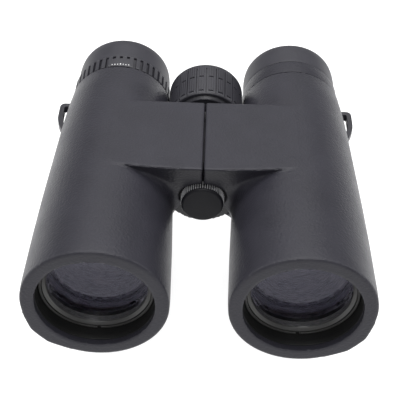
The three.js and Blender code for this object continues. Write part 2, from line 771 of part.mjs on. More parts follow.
addPart(hinge, 'hinge_nut', nut, steel);

const grooveRadius = axleRadius + turnGap + carriageWall;
const carriageFront = carriageMiddle - carriageLength / 2;
const carriageRear = carriageMiddle + carriageLength / 2;
const groove = armThickness / 2 + turnGap;
const carriage = turned([
  [axleRadius + turnGap, carriageFront],
  [carriageRadius, carriageFront],
  [carriageRadius, carriageMiddle - groove],
  [grooveRadius, carriageMiddle - groove],
  [grooveRadius, carriageMiddle + groove],
  [carriageRadius, carriageMiddle + groove],
  [carriageRadius, carriageRear],
  [axleRadius + turnGap, carriageRear],
]).subtract(box(
  -keyReach - fitGap, keyReach + fitGap,
  carriageMiddle - keySlot, carriageMiddle + keySlot, -keySlot, keySlot));
addPart(hinge, 'focus_carriage', carriage, steel);
const keys = box(
  -keyReach, keyReach, carriageMiddle - keyWidth / 2, carriageMiddle + keyWidth / 2, -keyWidth / 2, keyWidth / 2);
const focusNut = disc(axleBore - turnGap, carriageMiddle - focusNutLength / 2, carriageMiddle + focusNutLength / 2)
  .add(keys)
  .subtract(disc(screwRadius + turnGap, carriageMiddle - focusNutLength, carriageMiddle + focusNutLength));
addPart(hinge, 'focus_nut', focusNut, brass);

const wheelEnd = axleRear + endGap;
const coreRadius = wheelRadius - gripThickness;
const wheelCore = turned([
  [axleRadius + turnGap, wheelFront],
  [coreRadius - wheelChamfer, wheelFront],
  [coreRadius, wheelFront + wheelEdge],
  [coreRadius, wheelRear - wheelEdge],
  [coreRadius - wheelEdge, wheelRear],
  [screwRadius + fitGap, wheelRear],
  [screwRadius + fitGap, wheelEnd],
  [axleRadius + turnGap, wheelEnd],
], barrelSides);
addPart(hinge, 'focus_wheel', wheelCore, plastic);
const gripRing = extruded(
  toothed(wheelRadius, ribDepth, ribCount, ribLand),
  wheelFront + gripInset[0], wheelRear - gripInset[1], alongY, coreRadius + fitGap);
addPart(hinge, 'focus_grip', gripRing, grip);
const screw = disc(screwRadius, axleFront + screwInset[0], wheelRear - screwInset[1], screwSides);
addPart(hinge, 'focus_screw', screw, steel);
const wheelCapFront = wheelRear + fitGap;
const wheelCap = disc(coreRadius - wheelCapInset, wheelCapFront, wheelCapFront + wheelCapLength);
addPart(hinge, 'wheel_cap', wheelCap, plastic);

const socketFront = knuckleFront - fitGap - socketFlange;
const socket = turned([
  [0, axleFront - fitGap - socketFloor],
  [capSpigot + turnGap, axleFront - fitGap - socketFloor],
  [capSpigot + turnGap, socketFront],
  [socketRadius, socketFront],
  [socketRadius, socketFront + socketFlange],
  [axleRadius, socketFront + socketFlange],
  [axleRadius, axleFront - fitGap],
  [0, axleFront - fitGap],
]);
addPart(hinge, 'tripod_socket', socket, steel);
const washerRear = socketFront - fitGap;
const washerFront = washerRear - capWasherThickness;
const capWasher = tube(capRadius - capWasherInset, capSpigot + turnGap, washerFront, washerRear);
addPart(hinge, 'cap_washer', capWasher, rubber);
const capRear = washerFront - fitGap;
const capFace = capRear - capLength;
const capRound = turned([
  [0, capFace],
  [capRadius - capChamfer[0], capFace],
  [capRadius, capFace + capChamfer[1]],
  [capRadius, capRear],
  [0, capRear],
], barrelSides);
const cap = extruded(toothed(capRadius, capToothDepth, capTeeth, capToothLand), capFace, capRear, alongY)
  .intersect(capRound)
  .add(disc(capSpigot, capFace + capChamfer[1], socketFront + capThread));
addPart(hinge, 'tripod_cap', cap, blackened);

export default group;
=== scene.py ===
import json
import math

import bmesh
import bpy
import numpy as np
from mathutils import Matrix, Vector


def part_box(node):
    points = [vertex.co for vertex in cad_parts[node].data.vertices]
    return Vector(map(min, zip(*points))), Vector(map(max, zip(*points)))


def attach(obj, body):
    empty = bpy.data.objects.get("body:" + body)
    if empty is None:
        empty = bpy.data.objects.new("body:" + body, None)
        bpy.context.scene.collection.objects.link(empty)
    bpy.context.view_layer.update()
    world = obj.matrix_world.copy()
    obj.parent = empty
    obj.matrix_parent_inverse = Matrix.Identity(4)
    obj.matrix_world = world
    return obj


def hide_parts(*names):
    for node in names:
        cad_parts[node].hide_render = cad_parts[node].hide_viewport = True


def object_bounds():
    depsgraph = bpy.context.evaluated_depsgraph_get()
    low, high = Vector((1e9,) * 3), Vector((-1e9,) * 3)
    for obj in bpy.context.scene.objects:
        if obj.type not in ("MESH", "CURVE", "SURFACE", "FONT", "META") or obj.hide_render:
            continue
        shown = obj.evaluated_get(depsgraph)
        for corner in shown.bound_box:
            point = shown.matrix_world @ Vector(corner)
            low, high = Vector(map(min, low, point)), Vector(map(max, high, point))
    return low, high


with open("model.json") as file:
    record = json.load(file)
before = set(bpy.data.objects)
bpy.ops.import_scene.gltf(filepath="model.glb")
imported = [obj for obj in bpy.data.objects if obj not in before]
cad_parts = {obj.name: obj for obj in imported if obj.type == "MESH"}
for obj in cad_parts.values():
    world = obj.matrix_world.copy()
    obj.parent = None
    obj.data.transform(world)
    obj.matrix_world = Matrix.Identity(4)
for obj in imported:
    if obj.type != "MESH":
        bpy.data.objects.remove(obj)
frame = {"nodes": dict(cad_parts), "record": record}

cadLow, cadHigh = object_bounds()

# Sizes are in millimetres. A place along a barrel is counted from its objective rim.
metre = 0.001
fitGap = 0.3  # between pieces that stay put
turnGap = 0.35  # between pieces that move
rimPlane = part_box("left_armour")[0].y
barrelCentre = sum(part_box("left_crown_lens"), Vector()) / 2
hingeCentre = sum(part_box("hinge_axle"), Vector()) / 2
axisOf = {
    "left": Vector((barrelCentre.x, rimPlane, barrelCentre.z)),
    "right": Vector((-barrelCentre.x, rimPlane, barrelCentre.z)),
    "hinge": Vector((0, rimPlane, hingeCentre.z)),
}
halfSpacing = barrelCentre.x / metre
hingeHeight = (hingeCentre.z - barrelCentre.z) / metre


def along(node):  # where a node starts and ends along its barrel
    low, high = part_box(node)
    return (low.y - rimPlane) / metre, (high.y - rimPlane) / metre


def radiusOf(node):
    low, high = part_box(node)
    return (high.x - low.x) / 2 / metre


def extent(node):  # front, rear and radius
    return (*along(node), radiusOf(node))


# The camera, the floor and the lights

studio = {
    "target": (0, -8.75, 26.4),
    "distance": 394.76,
    "elevation": 41.79,  # degrees above the floor
    "azimuth": 0.25,
    "roll": 1.59,
    "lens": 90.16,
    "shift": (-0.0069, -0.01745),
    "floorSize": 6000,
    "floorColour": (0.42, 0.42, 0.42),
    "floorGlow": 0.76,
    "floorDrop": 32,  # clear of the barrel that folds down
    "sky": 0.4,
    "overhead": 12.8,
    "behind": 1.5,
    "ahead": 5.5,
    "sides": 3.9,
}


def makeCamera():
    elevation, azimuth, roll = (math.radians(studio[name]) for name in ("elevation", "azimuth", "roll"))
    back = Vector((
        math.sin(azimuth) * math.cos(elevation),
        -math.cos(azimuth) * math.cos(elevation),
        math.sin(elevation),
    ))
    right = (-back).cross(Vector((0, 0, 1))).normalized()
    up = right.cross(-back)
    turnedRight = right * math.cos(roll) + up * math.sin(roll)
    turnedUp = up * math.cos(roll) - right * math.sin(roll)
    camera = bpy.data.objects.new("camera", bpy.data.cameras.new("camera"))
    camera.data.lens = studio["lens"]
    camera.data.sensor_width = 36
    camera.data.shift_x, camera.data.shift_y = studio["shift"]
    camera.data.clip_start = 0.01
    place = (Vector(studio["target"]) + back * studio["distance"]) * metre
    matrix = camera.matrix_world.copy()
    for column, axis in enumerate((turnedRight, turnedUp, back, place)):
        for row in range(3):
            matrix[row][column] = axis[row]
    camera.matrix_world = matrix
    bpy.context.scene.collection.objects.link(camera)
    bpy.context.scene.camera = camera


def makeLight(name, place, target, size, power):
    light = bpy.data.objects.new(name, bpy.data.lights.new(name, "AREA"))
    light.data.shape = "RECTANGLE"
    light.data.size, light.data.size_y = size
    light.data.energy = power
    light.location = place
    light.rotation_euler = (Vector(target) - Vector(place)).to_track_quat("-Z", "Y").to_euler()
    bpy.context.scene.collection.objects.link(light)


def makeStudio():
    world = bpy.data.worlds.new("studio")
    world.use_nodes = True
    world.node_tree.nodes["Background"].inputs["Color"].default_value = (0.97, 0.98, 1.0, 1)
    world.node_tree.nodes["Background"].inputs["Strength"].default_value = studio["sky"]
    bpy.context.scene.world = world
    bpy.context.scene.view_settings.view_transform = "Standard"
    makeLight("overhead", (0, 0.15, 0.9), (0, 0, 0), (1.1, 0.9), studio["overhead"])
    makeLight("leftSide", (-0.9, 0.1, 0.35), (0, 0, 0.03), (0.5, 0.9), studio["sides"])
    makeLight("rightSide", (0.9, 0.1, 0.35), (0, 0, 0.03), (0.5, 0.9), studio["sides"])
    makeLight("behind", (0, 1.0, 0.8), (0, 0, 0.03), (0.9, 0.3), studio["behind"])
    makeLight("ahead", (0, -0.75, 0.85), (0, 0, 0.03), (0.25, 0.12), studio["ahead"])
    half = studio["floorSize"] / 2 * metre
    mesh = bpy.data.meshes.new("floor")
    mesh.from_pydata([(-half, -half, 0), (half, -half, 0), (half, half, 0), (-half, half, 0)], [], [(0, 1, 2, 3)])
    floor = bpy.data.objects.new("floor", mesh)
    floor.location.z = cadLow.z - studio["floorDrop"] * metre
    bpy.context.scene.collection.objects.link(floor)
    material = bpy.data.materials.new("paleFloor")
    material.use_nodes = True
    shader = material.node_tree.nodes["Principled BSDF"]
    shader.inputs["Base Color"].default_value = (*studio["floorColour"], 1)
    shader.inputs["Roughness"].default_value = 0.9
    shader.inputs["Emission Color"].default_value = (1, 1, 1, 1)
    shader.inputs["Emission Strength"].default_value = studio["floorGlow"]
    floor.data.materials.append(material)


# Finishes. Each has its own function, and a dictionary of what a user would change.

def startFinish(name):
    material = bpy.data.materials.new(name)
    material.use_nodes = True
    tree = material.node_tree
    coordinates = tree.nodes.new("ShaderNodeTexCoord")
    return material, tree, tree.nodes["Principled BSDF"], coordinates.outputs["Object"]


def addNode(tree, kind, inputs=None, **settings):
    node = tree.nodes.new(kind)
    for name, value in settings.items():
        setattr(node, name, value)
    for name, value in (inputs or {}).items():
        if isinstance(value, bpy.types.NodeSocket):
            tree.links.new(value, node.inputs[name])
        else:
            node.inputs[name].default_value = value
    return node


def cloud(tree, coordinates, size, detail=2.0):  # soft noise whose patches are about this many millimetres
    inputs = {"Vector": coordinates, "Scale": 1 / (size * metre), "Detail": detail}
    return addNode(tree, "ShaderNodeTexNoise", inputs).outputs["Fac"]


def ramp(tree, value, stops):  # stops of (place, grey or colour)
    node = addNode(tree, "ShaderNodeValToRGB", {"Fac": value})
    elements = node.color_ramp.elements
    while len(elements) < len(stops):
        elements.new(0.5)
    for element, (place, colour) in zip(elements, stops):
        element.position = place
        element.color = (*colour, 1) if isinstance(colour, tuple) else (colour, colour, colour, 1)
    return node.outputs["Color"]


def scaled(colour, share):
    return tuple(channel * share for channel in colour)


def bump(tree, height, depth):
    inputs = {"Height": height, "Distance": depth * metre, "Strength": 1.0}
    return addNode(tree, "ShaderNodeBump", inputs).outputs["Normal"]


def add(tree, first, second, share):  # first + second * share
    node = addNode(tree, "ShaderNodeMath", {0: second, 1: share, 2: first}, operation="MULTIPLY_ADD")
    return node.outputs[0]


patchStops = (0.3, 0.7)  # where the patches of the wide noise start and end


def dress(tree, shader, look, wide, shades, sheen, stops, swing, normal):
    rough = look["roughness"]
    colours = [scaled(look["colour"], shade) for shade in shades]
    sockets = {
        "Base Color": ramp(tree, wide, list(zip(patchStops, colours))),
        "Roughness": ramp(tree, sheen, list(zip(stops, (rough - swing, rough + swing)))),
        "Normal": normal,
    }
    for socket, value in sockets.items():
        tree.links.new(value, shader.inputs[socket])
    shader.inputs["Specular IOR Level"].default_value = look["gloss"]


def pebbledRubber(name, look):
    material, tree, shader, coordinates = startFinish(name)
    cells = addNode(tree, "ShaderNodeTexVoronoi", {
        "Vector": coordinates, "Scale": 1 / (look["grain"] * metre), "Randomness": 1.0,
    }, feature="SMOOTH_F1")
    fine = cloud(tree, coordinates, look["grain"] * 0.35, 3)
    height = add(tree, cells.outputs["Distance"], fine, look["roughen"])
    wide = cloud(tree, coordinates, look["patch"])
    dress(tree, shader, look, wide, shades=(0.9, 1.1), sheen=add(tree, wide, height, 0.25), stops=(0.3, 0.9),
          swing=0.06, normal=bump(tree, height, -look["relief"]))
    return material


def mouldedPlastic(name, look):
    material, tree, shader, coordinates = startFinish(name)
    wide = cloud(tree, coordinates, look["patch"])
    fine = cloud(tree, coordinates, look["grain"], 4)
    dress(tree, shader, look, wide, shades=(0.88, 1.12), sheen=fine, stops=(0.25, 0.75), swing=0.07,
          normal=bump(tree, fine, look["relief"]))
    return material


def turnedMetal(name, look):  # lathe marks run round the axis, so the noise is stretched across it
    material, tree, shader, coordinates = startFinish(name)
    mapping = addNode(tree, "ShaderNodeMapping", {"Vector": coordinates, "Scale": (0.06, 1.0, 0.06)})
    marks = cloud(tree, mapping.outputs["Vector"], look["marks"], 3)
    wide = cloud(tree, coordinates, look["patch"])
    dress(tree, shader, look, wide, shades=(0.9, 1.08), sheen=marks, stops=(0.3, 0.7), swing=0.08,
          normal=bump(tree, marks, look["relief"]))
    shader.inputs["Metallic"].default_value = look["metal"]
    return material


def coatedGlass(name, look):
    material, tree, shader, coordinates = startFinish(name)
    wide = cloud(tree, coordinates, look["patch"])
    colour = ramp(tree, wide, [(0.3, look["colour"]), (0.7, scaled(look["colour"], 0.96))])
    tree.links.new(colour, shader.inputs["Base Color"])
    shader.inputs["Roughness"].default_value = 0.0
    shader.inputs["IOR"].default_value = look["ior"]
    shader.inputs["Transmission Weight"].default_value = 1.0
    shader.inputs["Specular Tint"].default_value = (*look["coating"], 1)
    return material


blackened = {"metal": 0.0, "marks": 0.15, "relief": 0.004, "patch": 9}
bright = {"roughness": 0.34, "metal": 1.0, "gloss": 0.5, "marks": 0.1, "relief": 0.004, "patch": 6}
looks = {
    "armourRubber": (pebbledRubber, {
        "colour": (0.0185, 0.0180, 0.0235), "roughness": 0.37, "gloss": 0.2,
        "grain": 0.8, "roughen": 0.5, "relief": 0.11, "patch": 14,
    }),
    "eyecupRubber": (pebbledRubber, {
        "colour": (0.0200, 0.0195, 0.0250), "roughness": 0.46, "gloss": 0.3,
        "grain": 0.4, "roughen": 0.6, "relief": 0.015, "patch": 9,
    }),
    "gripRubber": (pebbledRubber, {
        "colour": (0.0170, 0.0165, 0.0215), "roughness": 0.46, "gloss": 0.4,
        "grain": 0.4, "roughen": 0.5, "relief": 0.015, "patch": 6,
    }),
    "charcoalPlastic": (mouldedPlastic, {
        "colour": (0.018, 0.0175, 0.022), "roughness": 0.42, "gloss": 0.32, "grain": 0.25, "relief": 0.012, "patch": 8,
    }),
    "blackPlastic": (mouldedPlastic, {
        "colour": (0.008, 0.008, 0.010), "roughness": 0.44, "gloss": 0.28, "grain": 0.2, "relief": 0.01, "patch": 6,
    }),
    "capPlastic": (mouldedPlastic, {
        "colour": (0.008, 0.008, 0.010), "roughness": 0.45, "gloss": 0.14, "grain": 0.3, "relief": 0.006, "patch": 6,
    }),
    # painted highlight: a light grey finish for the cap's ridges, standing in for the glints of light along the knurl
    "knurlPlastic": (mouldedPlastic, {
        "colour": (0.3, 0.3, 0.31), "roughness": 0.3, "gloss": 0.5, "grain": 0.3, "relief": 0.006, "patch": 6,
    }),
    "paintedCasting": (mouldedPlastic, {
        "colour": (0.016, 0.016, 0.018), "roughness": 0.55, "gloss": 0.5, "grain": 0.5, "relief": 0.04, "patch": 12,
    }),
    "blackenedMetal": (turnedMetal, {
        "colour": (0.006, 0.006, 0.006), "roughness": 0.5, "gloss": 0.2, **blackened,
    }),
    "satinMetal": (turnedMetal, {
        "colour": (0.022, 0.0215, 0.021), "roughness": 0.36, "gloss": 0.5, **blackened,
    }),
    "opticalBlack": (turnedMetal, {
        "colour": (0.05, 0.05, 0.053), "roughness": 0.28, "gloss": 0.7, **blackened, "relief": 0.003,
    }),
    "steel": (turnedMetal, {
        "colour": (0.42, 0.42, 0.44), **bright,
    }),
    "brass": (turnedMetal, {
        "colour": (0.58, 0.42, 0.18), **bright,
    }),
    "objectiveGlass": (coatedGlass, {
        "colour": (0.93, 0.92, 0.97), "coating": (0.22, 0.21, 0.34), "ior": 1.42, "patch": 20,
    }),
    "innerGlass": (coatedGlass, {
        "colour": (0.95, 0.94, 0.98), "coating": (0.2, 0.2, 0.34), "ior": 1.1, "patch": 20,
    }),
    "eyeGlass": (coatedGlass, {
        "colour": (0.95, 0.96, 0.95), "coating": (0.1, 0.15, 0.12), "ior": 1.52, "patch": 12,
    }),
    "prismGlass": (coatedGlass, {
        "colour": (0.96, 0.98, 0.97), "coating": (1.0, 1.0, 1.0), "ior": 1.57, "patch": 12,
    }),
    "markPaint": (mouldedPlastic, {
        "colour": (0.62, 0.62, 0.62), "roughness": 0.6, "gloss": 0.4, "grain": 0.1, "relief": 0.005, "patch": 2,
    }),
}
finishes = {name: make(name, look) for name, (make, look) in looks.items()}
print("finishes made:", len(finishes))


# Making and finishing meshes

def makeObject(name, points, faces, axis):  # points in millimetres from an axis
    mesh = bpy.data.meshes.new(name)
    placed = np.asarray(points, float) * metre + np.array(axis)
    mesh.from_pydata(placed.tolist(), [], faces)
    shell = bmesh.new()
    shell.from_mesh(mesh)
    if shell.calc_volume(signed=True) < 0:
        bmesh.ops.reverse_faces(shell, faces=shell.faces)
        shell.to_mesh(mesh)
    shell.free()
    mesh.update()
    piece = bpy.data.objects.new(name, mesh)
    bpy.context.scene.collection.objects.link(piece)
    return piece


sharpAngle = 32  # degrees


def smooth(piece):
    piece.data.shade_smooth()
    piece.data.set_sharp_from_angle(angle=math.radians(sharpAngle))


def dropObject(piece):
    mesh = piece.data
    bpy.data.objects.remove(piece)
    if mesh.users == 0:
        bpy.data.meshes.remove(mesh)


def applyModifiers(piece):
    bpy.context.view_layer.update()
    evaluated = piece.evaluated_get(bpy.context.evaluated_depsgraph_get())
    mesh = bpy.data.meshes.new_from_object(evaluated)
    old = piece.data
    piece.modifiers.clear()
    piece.data = mesh
    bpy.data.meshes.remove(old)


def combine(piece, tool, operation):  # cuts with, or joins, another closed mesh, which is then dropped
    modifier = piece.modifiers.new("boolean", "BOOLEAN")
    modifier.operation = operation
    modifier.solver = "MANIFOLD"
    modifier.object = tool
    applyModifiers(piece)
    dropObject(tool)


bodyOfNode = {node: name for name, nodes in frame["record"]["behaviour"]["bodies"].items() for node in nodes}


def finishPiece(piece, node, finish, stands=True):  # the piece rides on the node's body, and stands for it
    piece.data.materials.clear()
    piece.data.materials.append(finishes[finish])
    for polygon in piece.data.polygons:
        polygon.material_index = 0
    smooth(piece)
    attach(piece, bodyOfNode[node])
    if stands:
        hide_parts(node)
    return piece


def roundCorners(corners, steps=4):  # corners of (radius, place, rounding)
    points = []
    for index, (radius, place, rounding) in enumerate(corners):
        here = Vector((radius, place))
        if rounding == 0:
            points.append(here)
            continue
        before = Vector(corners[index - 1][:2]) - here
        after = Vector(corners[(index + 1) % len(corners)][:2]) - here
        start = here + before.normalized() * min(rounding, before.length * 0.49)
        end = here + after.normalized() * min(rounding, after.length * 0.49)
        for step in range(steps + 1):
            share = step / steps
            points.append(start * (1 - share) ** 2 + here * 2 * share * (1 - share) + end * share ** 2)
    return points


def outlineArea(points):  # twice it, and above zero if the points run anticlockwise
    return sum(a.x * b.y - b.x * a.y for a, b in zip(points, points[1:] + points[:1]))


def turn(name, corners, axis, segments=96, steps=4):  # turns a profile; it closes on itself or ends on the axis
    profile = roundCorners(corners, steps)
    if outlineArea(profile) > 0:
        profile.reverse()
    closed = min(point.x for point in profile) > 0
    if not closed:  # starts the profile at the axis
        first = next(i for i in range(len(profile)) if profile[i].x == 0 and profile[i - 1].x == 0)
        profile = profile[first:] + profile[:first]
    points, rings = [], []
    for radius, place in profile:
        count = 1 if radius == 0 else segments
        rings.append([len(points) + i for i in range(count)])
        for i in range(count):
            angle = 2 * math.pi * i / segments
            points.append((radius * math.cos(angle), place, radius * math.sin(angle)))
    faces = []
    pairs = list(zip(rings, rings[1:]))
    if closed:
        pairs.append((rings[-1], rings[0]))
    for near, far in pairs:
        if len(near) == 1 and len(far) == 1:
            continue
        for i in range(segments):
            j = (i + 1) % segments
            if len(near) == 1:
                faces.append((near[0], far[i], far[j]))
            elif len(far) == 1:
                faces.append((near[j], near[i], far[0]))
            else:
                faces.append((near[j], near[i], far[i], far[j]))
    return makeObject(name, points, faces, axis)


def turnNode(node, corners, axis, finish, segments=96, steps=4):  # a turned piece, named after its node
    first, *words = node.split("_")
    name = first + "".join(word.title() for word in words)
    return finishPiece(turn(name, corners, axis, segments, steps), node, finish)


boxFaces = [(0, 1, 3, 2), (4, 6, 7, 5), (0, 4, 5, 1), (2, 3, 7, 6), (0, 2, 6, 4), (1, 5, 7, 3)]


def block(name, low, high, axis):
    corners = [(x, y, z) for x in (low[0], high[0]) for y in (low[1], high[1]) for z in (low[2], high[2])]
    return makeObject(name, corners, boxFaces, axis)


# A ring of copies, as a Geometry Nodes tree: copies of a tool round an axis, cut from a piece or joined to it

def makeRingTree(operation):
    tree = bpy.data.node_groups.new(f"ring{operation.title()}", "GeometryNodeTree")
    sockets = {
        "Geometry": "Geometry", "Tool": "Object", "Count": "Int", "Copies": "Int", "Start": "Float",
        "Axis": "Vector", "Finish": "Material",
    }
    for name, kind in sockets.items():
        tree.interface.new_socket(name, in_out="INPUT", socket_type=f"NodeSocket{kind}")
    tree.interface.new_socket("Geometry", in_out="OUTPUT", socket_type="NodeSocketGeometry")
    given = tree.nodes.new("NodeGroupInput").outputs
    tool = addNode(tree, "GeometryNodeObjectInfo", {"Object": given["Tool"]}).outputs["Geometry"]
    points = addNode(tree, "GeometryNodePoints", {"Count": given["Copies"]}).outputs[0]
    index = tree.nodes.new("GeometryNodeInputIndex").outputs[0]
    pitch = addNode(tree, "ShaderNodeMath", {0: math.tau, 1: given["Count"]}, operation="DIVIDE").outputs[0]
    angle = addNode(tree, "ShaderNodeMath", {0: index, 1: pitch, 2: given["Start"]}, operation="MULTIPLY_ADD")
    rotation = addNode(tree, "ShaderNodeCombineXYZ", {"Y": angle.outputs[0]}).outputs[0]
    copies = addNode(tree, "GeometryNodeInstanceOnPoints", {"Points": points, "Instance": tool, "Rotation": rotation})
    solid = addNode(tree, "GeometryNodeRealizeInstances", {"Geometry": copies.outputs[0]}).outputs[0]
    placed = addNode(tree, "GeometryNodeTransform", {"Geometry": solid, "Translation": given["Axis"]}).outputs[0]
    joined = tree.nodes.new("GeometryNodeMeshBoolean")
    joined.operation = operation
    joined.solver = "MANIFOLD"
    tree.links.new(given["Geometry"], joined.inputs[0 if operation == "DIFFERENCE" else 1])
    tree.links.new(placed, joined.inputs[1])
    real = addNode(tree, "GeometryNodeRealizeInstances", {"Geometry": joined.outputs["Mesh"]}).outputs[0]
    painted = addNode(tree, "GeometryNodeSetMaterial", {"Geometry": real, "Material": given["Finish"]}).outputs[0]
    tree.links.new(painted, tree.nodes.new("NodeGroupOutput").inputs[0])
    return tree


ringTrees = {operation: makeRingTree(operation) for operation in ("DIFFERENCE", "UNION")}


def ring(piece, tool, operation, count, axis, finish, start=0.0, copies=None):  # count sets the pitch
    tree = ringTrees[operation]
    modifier = piece.modifiers.new("ring", "NODES")
    modifier.node_group = tree
    values = {
        "Tool": tool, "Count": count, "Copies": copies or count, "Start": start, "Axis": tuple(axis),
        "Finish": finishes[finish],
    }
    for item in tree.interface.items_tree:
        if item.in_out == "INPUT" and item.name in values:
            modifier[item.identifier] = values[item.name]
    applyModifiers(piece)
    dropObject(tool)


def cutGrooves(piece, axis, count, width, depth, front, rear, outer, start=0.0, copies=None):
    low, high = (-width / 2, front, outer - depth), (width / 2, rear, outer + 2)
    ring(piece, block("groove", low, high, (0, 0, 0)), "DIFFERENCE", count, axis, "gripRubber", start, copies)


# Solids from distance fields: negative inside, positive outside, in millimetres

def roundMax(first, second, radius):  # the overlap of two solids, with its edge rounded
    inside = np.minimum(np.maximum(first, second), -radius)
    return inside + np.hypot(np.maximum(first + radius, 0), np.maximum(second + radius, 0))


def softMin(first, second, reach):  # the join of two solids, with a fillet
    share = np.maximum(reach - np.abs(first - second), 0) / np.maximum(reach, 1e-6)
    return np.minimum(first, second) - share ** 2 * reach / 4


def polygonField(x, z, corners):
    nearest = np.full(x.shape, 1e9)
    inside = np.zeros(x.shape, bool)
    for (ax, az), (bx, bz) in zip(corners, corners[1:] + corners[:1]):
        dx, dz = bx - ax, bz - az
        share = np.clip(((x - ax) * dx + (z - az) * dz) / (dx * dx + dz * dz), 0, 1)
        nearest = np.minimum(nearest, np.hypot(x - ax - share * dx, z - az - share * dz))
        if az != bz:
            inside ^= ((az > z) != (bz > z)) & (x < ax + (z - az) * dx / dz)
    return np.where(inside, -nearest, nearest)


def fieldSlope(field, points, step=0.02):
    slope = np.zeros_like(points)
    for axis in range(3):
        ahead, behind = points.copy(), points.copy()
        ahead[:, axis] += step
        behind[:, axis] -= step
        slope[:, axis] = (field(*ahead.T) - field(*behind.T)) / (2 * step)
    return slope


def meshField(field, low, high, cell):
    # Surface nets: one point for each cell that the surface crosses, pulled onto the surface
    counts = [int(math.ceil((h - l) / cell)) + 1 for l, h in zip(low, high)]
    grids = [l + cell * np.arange(n) for l, n in zip(low, counts)]
    values = np.empty(counts, np.float32)
    for i, x in enumerate(grids[0]):
        y, z = np.meshgrid(grids[1], grids[2], indexing="ij")
        values[i] = field(np.full(y.shape, x), y, z)
    inside = values < 0
    cells = [n - 1 for n in counts]
    total = np.zeros((*cells, 3), np.float32)
    hits = np.zeros(cells, np.float32)
    corner = [(i, j, k) for i in (0, 1) for j in (0, 1) for k in (0, 1)]
    window = {c: tuple(slice(o, o + n) for o, n in zip(c, cells)) for c in corner}
    for a in corner:
        for axis in range(3):
            if a[axis]:
                continue
            b = tuple(1 if i == axis else a[i] for i in range(3))
            va, vb = values[window[a]], values[window[b]]
            crosses = inside[window[a]] != inside[window[b]]
            share = np.where(crosses, va / np.where(va == vb, 1, va - vb), 0)
            for i in range(3):
                total[..., i] += np.where(crosses, a[i] + (share if i == axis else 0), 0)
            hits += crosses
    used = hits > 0
    number = np.full(cells, -1, int)
    number[used] = np.arange(used.sum())
    origin = np.stack(np.nonzero(used), 1)
    points = (origin + total[used] / hits[used][:, None]) * cell + np.array(low)
    faces = []
    for axis in range(3):
        u, v = (axis + 1) % 3, (axis + 2) % 3
        near = [slice(None)] * 3
        far = [slice(None)] * 3
        near[axis], far[axis] = slice(0, -1), slice(1, None)
        change = inside[tuple(near)] != inside[tuple(far)]
        places = np.stack(np.nonzero(change), 1)
        places = places[(places[:, u] > 0) & (places[:, v] > 0)]
        leaving = inside[tuple(places.T)]
        quad = []
        for du, dv in ((1, 1), (0, 1), (0, 0), (1, 0)):
            shifted = places.copy()
            shifted[:, u] -= du
            shifted[:, v] -= dv
            quad.append(number[tuple(shifted.T)])
        quad = np.stack(quad, 1)
        faces.append(np.where(leaving[:, None], quad, quad[:, ::-1]))
    faces = np.concatenate(faces)
    edges = np.concatenate([faces[:, [0, 1]], faces[:, [1, 2]], faces[:, [2, 3]], faces[:, [3, 0]]])
    for sweep in range(4):
        if sweep:  # evens out the points before they are pulled back
            spread = np.zeros_like(points)
            weight = np.zeros(len(points))
            for a, b in ((0, 1), (1, 0)):
                np.add.at(spread, edges[:, a], points[edges[:, b]])
                np.add.at(weight, edges[:, a], 1)
            points = points * 0.5 + spread / weight[:, None] * 0.5
        for pull in range(2):
            slope = fieldSlope(field, points)
            steep = np.maximum((slope ** 2).sum(1), 0.25)
            step = slope * (field(*points.T) / steep)[:, None]
            points = points - np.clip(step, -cell / 2, cell / 2)
    return points, faces


def fieldObject(name, side, field, low, high, cell):
    # Fields point away from the hinge, so the right barrel's solid is mirrored
    points, faces = meshField(lambda x, y, z: field(side, x, y, z), low, high, cell)
    if side == "right":
        points[:, 0] *= -1
        faces = faces[:, ::-1]
    return makeObject(name, points, faces.tolist(), axisOf[side])


# The body of a barrel with its half of the bridge. x points away from the hinge, from the barrel's axis.

body = {
    "outline": [(0, 26.2), (3, 26.4), (28, 25.9), (49.3, 25.2), (89.3, 23.4), (105, 22.4), (115, 21.3)],
    "length": along("left_armour")[1],
    "bridgeFront": 45.3,
    "bridgeRear": 89.3,
    "bow": 2.7,  # how far the bridge's front edge bows forward at the split
    "lean": 0.33,  # how far its front face leans back for each millimetre down
    "rearLean": 0.03,
    "below": 0.15,  # the bridge's top lies this far below the top of the barrel
    "split": 0.2,
    "web": {"left": (8.17, -6.58), "right": (11.4, -3.74)},  # lower corner of the bridge, beside the hinge
    "fillet": 5.0,
    "edge": 0.9,
}
outlinePlaces = np.arange(-10, body["length"] + 10, 0.5)
outlineRadii = np.interp(outlinePlaces, *zip(*body["outline"]))
smoothing = np.hanning(19) / np.hanning(19).sum()
outlineRadii = np.convolve(np.pad(outlineRadii, 9, "edge"), smoothing, "valid")


def barrelRadius(y):
    return np.interp(y, outlinePlaces, outlineRadii)


def bodyField(side, x, y, z):
    radius = barrelRadius(y)
    barrel = np.hypot(x, z) - radius
    tall = 2 * radius.max()
    webX, webZ = body["web"][side]
    across = polygonField(x, z, [
        (body["split"] - halfSpacing, tall), (0, tall), (0, 0), (-18, -12.6),
        (webX - halfSpacing, webZ), (body["split"] - halfSpacing, hingeHeight),
    ])
    top = z - (radius - body["below"])
    share = 1 + x / halfSpacing
    front = body["bridgeFront"] + body["bow"] * share ** 2 + body["lean"] * (barrelRadius(body["bridgeFront"]) - z)
    ahead = (front - y) / math.hypot(1, body["lean"])
    behind = y - body["bridgeRear"] + body["rearLean"] * (radius - z)
    bridge = roundMax(across, top, body["edge"])
    bridge = roundMax(roundMax(bridge, ahead, body["edge"]), behind, body["edge"])
    reach = body["fillet"] * np.clip((radius - 1.5 - z) / 9, 0.15, 1)
    return softMin(barrel, bridge, reach)


def cylinderField(x, z, radius):  # about the hinge
    return np.hypot(x + halfSpacing, z - hingeHeight) - radius


